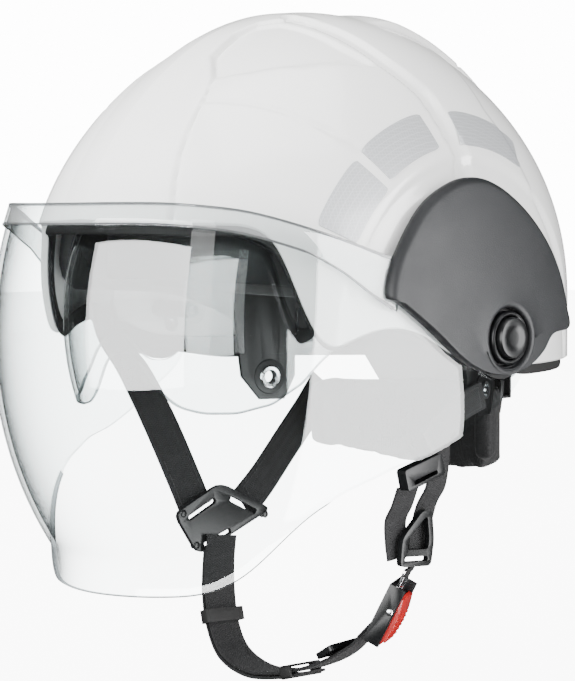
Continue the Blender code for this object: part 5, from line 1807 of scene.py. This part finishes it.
@dataclass
class Fittings:
    """The rigid fittings, each with the moulded radius on its edges."""

    finishes: Finishes

    def build(self) -> list[bpy.types.Object]:
        """Build the pieces and paint the CAD nodes that stay.

        Returns:
            The pieces.
        """
        rounds = [
            Rounding("y_buckle_right", 0.6), Rounding("y_divider_left", 0.9),
            Rounding("ladder_slider", 0.7), Rounding("strap_keeper_upper", 0.7),
            Rounding("strap_keeper_lower", 0.7), Rounding("strap_clip_left", 0.9),
            Rounding("buckle_body", 0.8), Rounding("release_lever", 1.0),
            Rounding("buckle_tongue", 0.4), Rounding("harness_plate_left", 0.7),
            Rounding("harness_plate_right", 0.7), Rounding("headband", 0.5),
            Rounding("nape_yoke", 0.7), Rounding("ratchet_housing", 0.8),
            Rounding("ratchet_knob", 0.35, 2), Rounding("lever_pin", 0.35),
        ]
        made = [self._rounded(entry) for entry in rounds]
        for node, obj in NODES.items():
            paint(obj, self.finishes.by_slot[SLOT_OF[node]])
        return [*made, *self._eyelets(), *self._details()]

    def _rounded(self, entry: Rounding) -> bpy.types.Object:
        """Round the edges of one CAD solid.

        Args:
            entry: What to round, and by how much.

        Returns:
            The piece.
        """
        edit = welded(entry.node)
        bmesh.ops.dissolve_limit(
            edit, angle_limit=math.radians(1.0), verts=edit.verts[:], edges=edit.edges[:]
        )
        obj = unfinished(edit, entry.node)
        bevel = obj.modifiers.new("round", "BEVEL")
        bevel.width = entry.width_mm * MM
        bevel.segments = entry.segments
        bevel.limit_method = "ANGLE"
        bevel.angle_limit = math.radians(ROUND_FROM_DEGREES)
        bevel.use_clamp_overlap = True
        done = bake(obj, f"{entry.node}_rounded")
        done.data.shade_smooth()
        done.data.set_sharp_from_angle(angle=math.radians(FITTING_SHARP_DEGREES))
        paint(done, self.finishes.by_slot[SLOT_OF[entry.node]])
        return attach(done, entry.node, [entry.node])

    def _eyelets(self) -> list[bpy.types.Object]:
        """Build the round bosses with steel eyelets on the harness plates.

        Returns:
            The pieces.
        """
        made = []
        for label, side in (("left", 1), ("right", -1)):
            out, back, up = EYELET_PLACE
            place = np.array([out * side, back, up])
            lean = [out / PLATE_HALF_WIDTH**2 * side, back / PLATE_HALF_LENGTH**2, 0]
            normal = unit(np.array(lean))
            seat = place - normal * EYELET_SINK
            boss = lathe(
                f"eyelet_boss_{label}", BOSS_PROFILE, seat, -normal, self.finishes.black
            )
            ring = lathe(f"eyelet_{label}", EYELET_PROFILE, seat, -normal, self.finishes.steel)
            made += [attach(p, f"harness_plate_{label}") for p in (boss, ring)]
        return made

    def _details(self) -> list[bpy.types.Object]:
        """Build the rivets, the heads of the lever's pin and the ribs of the lever.

        Returns:
            The pieces.
        """
        rivets = Repeated("harness_rivets", Shape.BEAD, (4.2, 4.2, 1.5), self.finishes.black)
        for y, z in RIVETS:
            for side in (1, -1):
                rivets.put((Y_PLATE_X + RIVET_STAND * side, y, z), (0, 1, 0), (side, 0, 0))
        made = [attach(rivets.build(), "y_buckle_right")]
        middle, up, out, across = buckle_axes()
        pin = middle + up * PIN_ALONG + out * PIN_OUT
        heads = Repeated("pin_heads", Shape.BEAD, (4.0, 4.0, 1.4), self.finishes.steel)
        for side in (1, -1):
            heads.put(pin + across * side * PIN_HEAD_ACROSS, up, across * side)
        made.append(attach(heads.build(), "buckle_body"))
        ribs = Repeated("lever_ribs", Shape.BLOCK, (16.5, 0.8, 0.7), self.finishes.red)
        for along, height in LEVER_RIBS:
            ribs.put(middle + up * along + out * (height + RIB_STAND), across, out)
        made.append(attach(ribs.build(), "release_lever"))
        return made


def buckle_axes() -> tuple[np.ndarray, np.ndarray, np.ndarray, np.ndarray]:
    """Give the chin buckle's middle and its directions.

    Returns:
        Middle, then unit vectors up its length, out of its face and across it.
    """
    up = unit(np.array([0.42, 0.18, 0.89]))
    across = unit(np.cross(up, unit(np.array([0.772, 0.441, -0.375]))))
    return np.array([61.0, 3.0, -138.5]), up, np.cross(across, up), across


# ---- Padding -------------------------------------------------------------------------------------


@dataclass
class Pad:
    """A foam pad in knit fabric: its CAD solid is filled out by a short cloth simulation."""

    node: str
    fill: float
    pressure: float
    most_mm: float
    voxel_mm: float
    backing: tuple[float, float] | None
    finish: bpy.types.Material

    def build(self) -> bpy.types.Object:
        """Build the pad.

        Returns:
            The piece.
        """
        obj = unfinished(welded(self.node), self.node)
        remesh = obj.modifiers.new("even", "REMESH")
        remesh.mode = "VOXEL"
        remesh.voxel_size = self.voxel_mm * MM
        obj = bake(obj, f"{self.node}_even")
        self._inflate(obj)
        smooth_faces = obj.modifiers.new("smooth", "SUBSURF")
        smooth_faces.levels = smooth_faces.render_levels = 1
        obj = bake(obj, f"{self.node}_fabric")
        obj.data.shade_smooth()
        paint(obj, self.finish)
        return attach(obj, self.node, [self.node])

    def _inflate(self, obj: bpy.types.Object) -> None:
        """Fill the pad out as cloth, keeping what lies on its backing.

        Args:
            obj: The evenly meshed pad.
        """
        rest = np.empty(len(obj.data.vertices) * 3)
        obj.data.vertices.foreach_get("co", rest)
        rest = rest.reshape(-1, 3)
        held = obj.vertex_groups.new(name="held")
        if self.backing:
            half_width, half_length = self.backing
            out = np.hypot(rest[:, 0] / (half_width * MM), rest[:, 1] / (half_length * MM))
            held.add([int(i) for i in np.nonzero(out > HELD_FROM)[0]], 1.0, "REPLACE")
        cloth = obj.modifiers.new("fill", "CLOTH")
        settings = cloth.settings
        settings.quality = 6
        settings.mass = 0.15
        settings.tension_stiffness = settings.compression_stiffness = 18
        settings.shear_stiffness = 8
        settings.bending_stiffness = 0.6
        settings.use_pressure = True
        settings.uniform_pressure_force = self.pressure
        settings.effector_weights.gravity = 0.0
        settings.shrink_min = -0.05
        settings.vertex_group_mass = "held"
        cloth.collision_settings.use_collision = False
        cloth.point_cache.frame_start, cloth.point_cache.frame_end = 1, CLOTH_STEPS
        scene = bpy.context.scene
        for step in range(1, CLOTH_STEPS + 1):
            scene.frame_set(step)
        graph = bpy.context.evaluated_depsgraph_get()
        shaped = obj.evaluated_get(graph).to_mesh()
        moved = np.empty(len(rest) * 3)
        shaped.vertices.foreach_get("co", moved)
        shift = moved.reshape(-1, 3) - rest
        length = np.linalg.norm(shift, axis=1, keepdims=True)
        shift *= np.minimum(1, self.most_mm * MM / np.maximum(length, 1e-9))
        obj.evaluated_get(graph).to_mesh_clear()
        obj.modifiers.remove(cloth)
        scene.frame_set(1)
        obj.data.vertices.foreach_set("co", (rest + shift).ravel())
        obj.data.update()


@dataclass
class Padding:
    """The brow, crown and nape pads, and the foam liner behind them."""

    finishes: Finishes

    def build(self) -> list[bpy.types.Object]:
        """Build the pieces.

        Returns:
            The pieces.
        """
        knit = self.finishes.knit
        pads = [
            Pad("brow_pad", 0.7, 3.0, 4.0, 2.4, (83.6, 105.6), knit),
            Pad("crown_pad", 0.7, 3.0, 3.5, 2.6, None, knit),
            Pad("nape_pad", 0.8, 4.0, 7.0, 4.0, (84.7, 120.7), knit),
        ]
        return [*(pad.build() for pad in pads), self._liner()]

    def _liner(self) -> bpy.types.Object:
        """Smooth the liner's CAD solid into moulded foam.

        Returns:
            The piece.
        """
        edit = welded("impact_liner")
        bmesh.ops.join_triangles(
            edit, faces=edit.faces[:], angle_face_threshold=0.6, angle_shape_threshold=0.9
        )
        obj = unfinished(edit, "liner")
        smooth_faces = obj.modifiers.new("smooth", "SUBSURF")
        smooth_faces.levels = smooth_faces.render_levels = 2
        liner = bake(obj, "bead_foam_liner")
        liner.data.shade_smooth()
        paint(liner, self.finishes.foam)
        return attach(liner, "impact_liner", ["impact_liner"])


# ---- Setting -------------------------------------------------------------------------------------


class Use(Enum):
    """What a studio light is for."""

    LIGHT = "light"
    REFLECTION = "reflection"


def direction(azimuth: float, elevation: float) -> Vector:
    """Give the direction of a place in the studio, seen from the helmet.

    Args:
        azimuth: Degrees round from the front.
        elevation: Degrees above the horizon.

    Returns:
        A unit vector.
    """
    turn, lift = math.radians(azimuth), math.radians(elevation)
    return Vector(
        (math.sin(turn) * math.cos(lift), -math.cos(turn) * math.cos(lift), math.sin(lift))
    )


@dataclass(frozen=True)
class Softbox:
    """A rectangular studio light aimed at the helmet, or a lit card that only mirrors show."""

    name: str
    use: Use
    azimuth: float
    elevation: float
    size: tuple[float, float]
    radiance: float
    distance: float = 1.6

    def build(self) -> None:
        """Add the light."""
        light = bpy.data.lights.new(self.name, "AREA")
        light.shape = "RECTANGLE"
        light.size, light.size_y = self.size
        light.energy = self.radiance * math.pi * self.size[0] * self.size[1]
        obj = bpy.data.objects.new(self.name, light)
        bpy.context.scene.collection.objects.link(obj)
        back = direction(self.azimuth, self.elevation)
        obj.location = back * self.distance
        obj.rotation_euler = back.to_track_quat("Z", "Y").to_euler()
        obj.visible_camera = False
        obj.visible_diffuse = self.use is Use.LIGHT
        obj.visible_glossy = self.use is Use.REFLECTION


@dataclass(frozen=True)
class Studio:
    """The pale floor, the soft lights, the white surroundings and the camera."""

    azimuth: float = 46.0
    elevation: float = 2.5
    distance: float = 1.300
    lens: float = 134.0
    shift: tuple[float, float] = (-0.0198, -0.0154)
    backdrop: float = 14.0
    ambient: float = 1.25
    mirrored: float = 0.1
    floor_gap: float = 0.012
    floor_reach: float = 6000.0

    def build(self) -> None:
        """Build the setting."""
        self._floor()
        self._surroundings()
        for light in (
            Softbox("key_light", Use.LIGHT, -20, 42, (1.1, 1.1), 20.0),
            Softbox("fill_light", Use.LIGHT, 95, 15, (1.0, 1.2), 6.0),
            Softbox("front_card", Use.REFLECTION, 13.5, 5, (1.39, 1.15), 20.0),
            Softbox("between_card", Use.REFLECTION, 42.0, 8, (0.26, 1.2), 3.0),
            Softbox("side_card", Use.REFLECTION, 104, -14, (1.35, 3.4), 22.0),
            Softbox("top_card", Use.REFLECTION, 60, 78, (1.2, 1.2), 5.0),
        ):
            light.build()
        camera = bpy.data.objects.new("camera", bpy.data.cameras.new("camera"))
        camera.data.lens = self.lens
        camera.data.sensor_width = 36.0
        camera.data.shift_x, camera.data.shift_y = self.shift
        back = direction(self.azimuth, self.elevation)
        camera.location = back * self.distance
        camera.rotation_euler = back.to_track_quat("Z", "Y").to_euler()
        bpy.context.scene.collection.objects.link(camera)
        bpy.context.scene.camera = camera

    def _floor(self) -> None:
        """Lay a pale floor, as bright to the eye as the backdrop, that mirrors look past."""
        tree = Tree("pale_matt_floor")
        matt = tree.add("ShaderNodeBsdfPrincipled", Base_Color=linear("#F4F4F4"), Roughness=0.9)
        glow = tree.add("ShaderNodeEmission", Strength=self.backdrop * 0.8)
        path = tree.add("ShaderNodeLightPath")
        share = tree.math("MULTIPLY", path.outputs["Is Camera Ray"], 0.85)
        seen = tree.add("ShaderNodeMixShader", in0=share, in1=matt.outputs[0], in2=glow.outputs[0])
        gone = tree.add("ShaderNodeBsdfTransparent")
        mirrored = path.outputs["Is Glossy Ray"]
        mix = tree.add("ShaderNodeMixShader", in0=mirrored, in1=seen.outputs[0], in2=gone.outputs[0])
        low = (CAD_LOW.z - self.floor_gap) / MM
        reach = self.floor_reach
        corners = np.array(
            [[-reach, -reach, low], [reach, -reach, low], [reach, reach, low], [-reach, reach, low]]
        )
        floor = mesh_object("floor", corners, [(0, 1, 2, 3)], tree.finish(mix.outputs[0]))

    def _surroundings(self) -> None:
        """Make the surroundings white to the eye, softer as light and dim in mirrors."""
        world = bpy.data.worlds.new("studio")
        bpy.context.scene.world = world
        world.use_nodes = True
        nodes, links = world.node_tree.nodes, world.node_tree.links
        nodes.clear()
        path = nodes.new("ShaderNodeLightPath")
        shader = None
        for strength, ray in (
            (self.ambient, None), (self.mirrored, "Is Glossy Ray"), (self.backdrop, "Is Camera Ray"),
        ):
            glow = nodes.new("ShaderNodeBackground")
            glow.inputs["Color"].default_value = (1.0, 1.0, 1.0, 1.0)
            glow.inputs["Strength"].default_value = strength
            if ray is None:
                shader = glow.outputs[0]
                continue
            mix = nodes.new("ShaderNodeMixShader")
            links.new(path.outputs[ray], mix.inputs[0])
            links.new(shader, mix.inputs[1])
            links.new(glow.outputs[0], mix.inputs[2])
            shader = mix.outputs[0]
        out = nodes.new("ShaderNodeOutputWorld")
        links.new(shader, out.inputs["Surface"])


def main() -> None:
    """Build the looks of the helmet in order and report each sub-assembly."""
    logging.basicConfig(level=logging.INFO, format="%(message)s")
    finishes = Finishes()
    builders = {
        "shell": Shell(finishes),
        "shields": Shields(finishes),
        "left side cover": SideCover(finishes, 1),
        "right side cover": SideCover(finishes, -1),
        "harness": Harness(finishes),
        "fittings": Fittings(finishes),
        "padding": Padding(finishes),
    }
    for label, builder in builders.items():
        pieces = builder.build()
        LOG.info("%s: %d pieces", label, len(pieces))
    Studio().build()
    LOG.info("studio: floor, lights and camera")


if __name__ == "__main__":
    main()
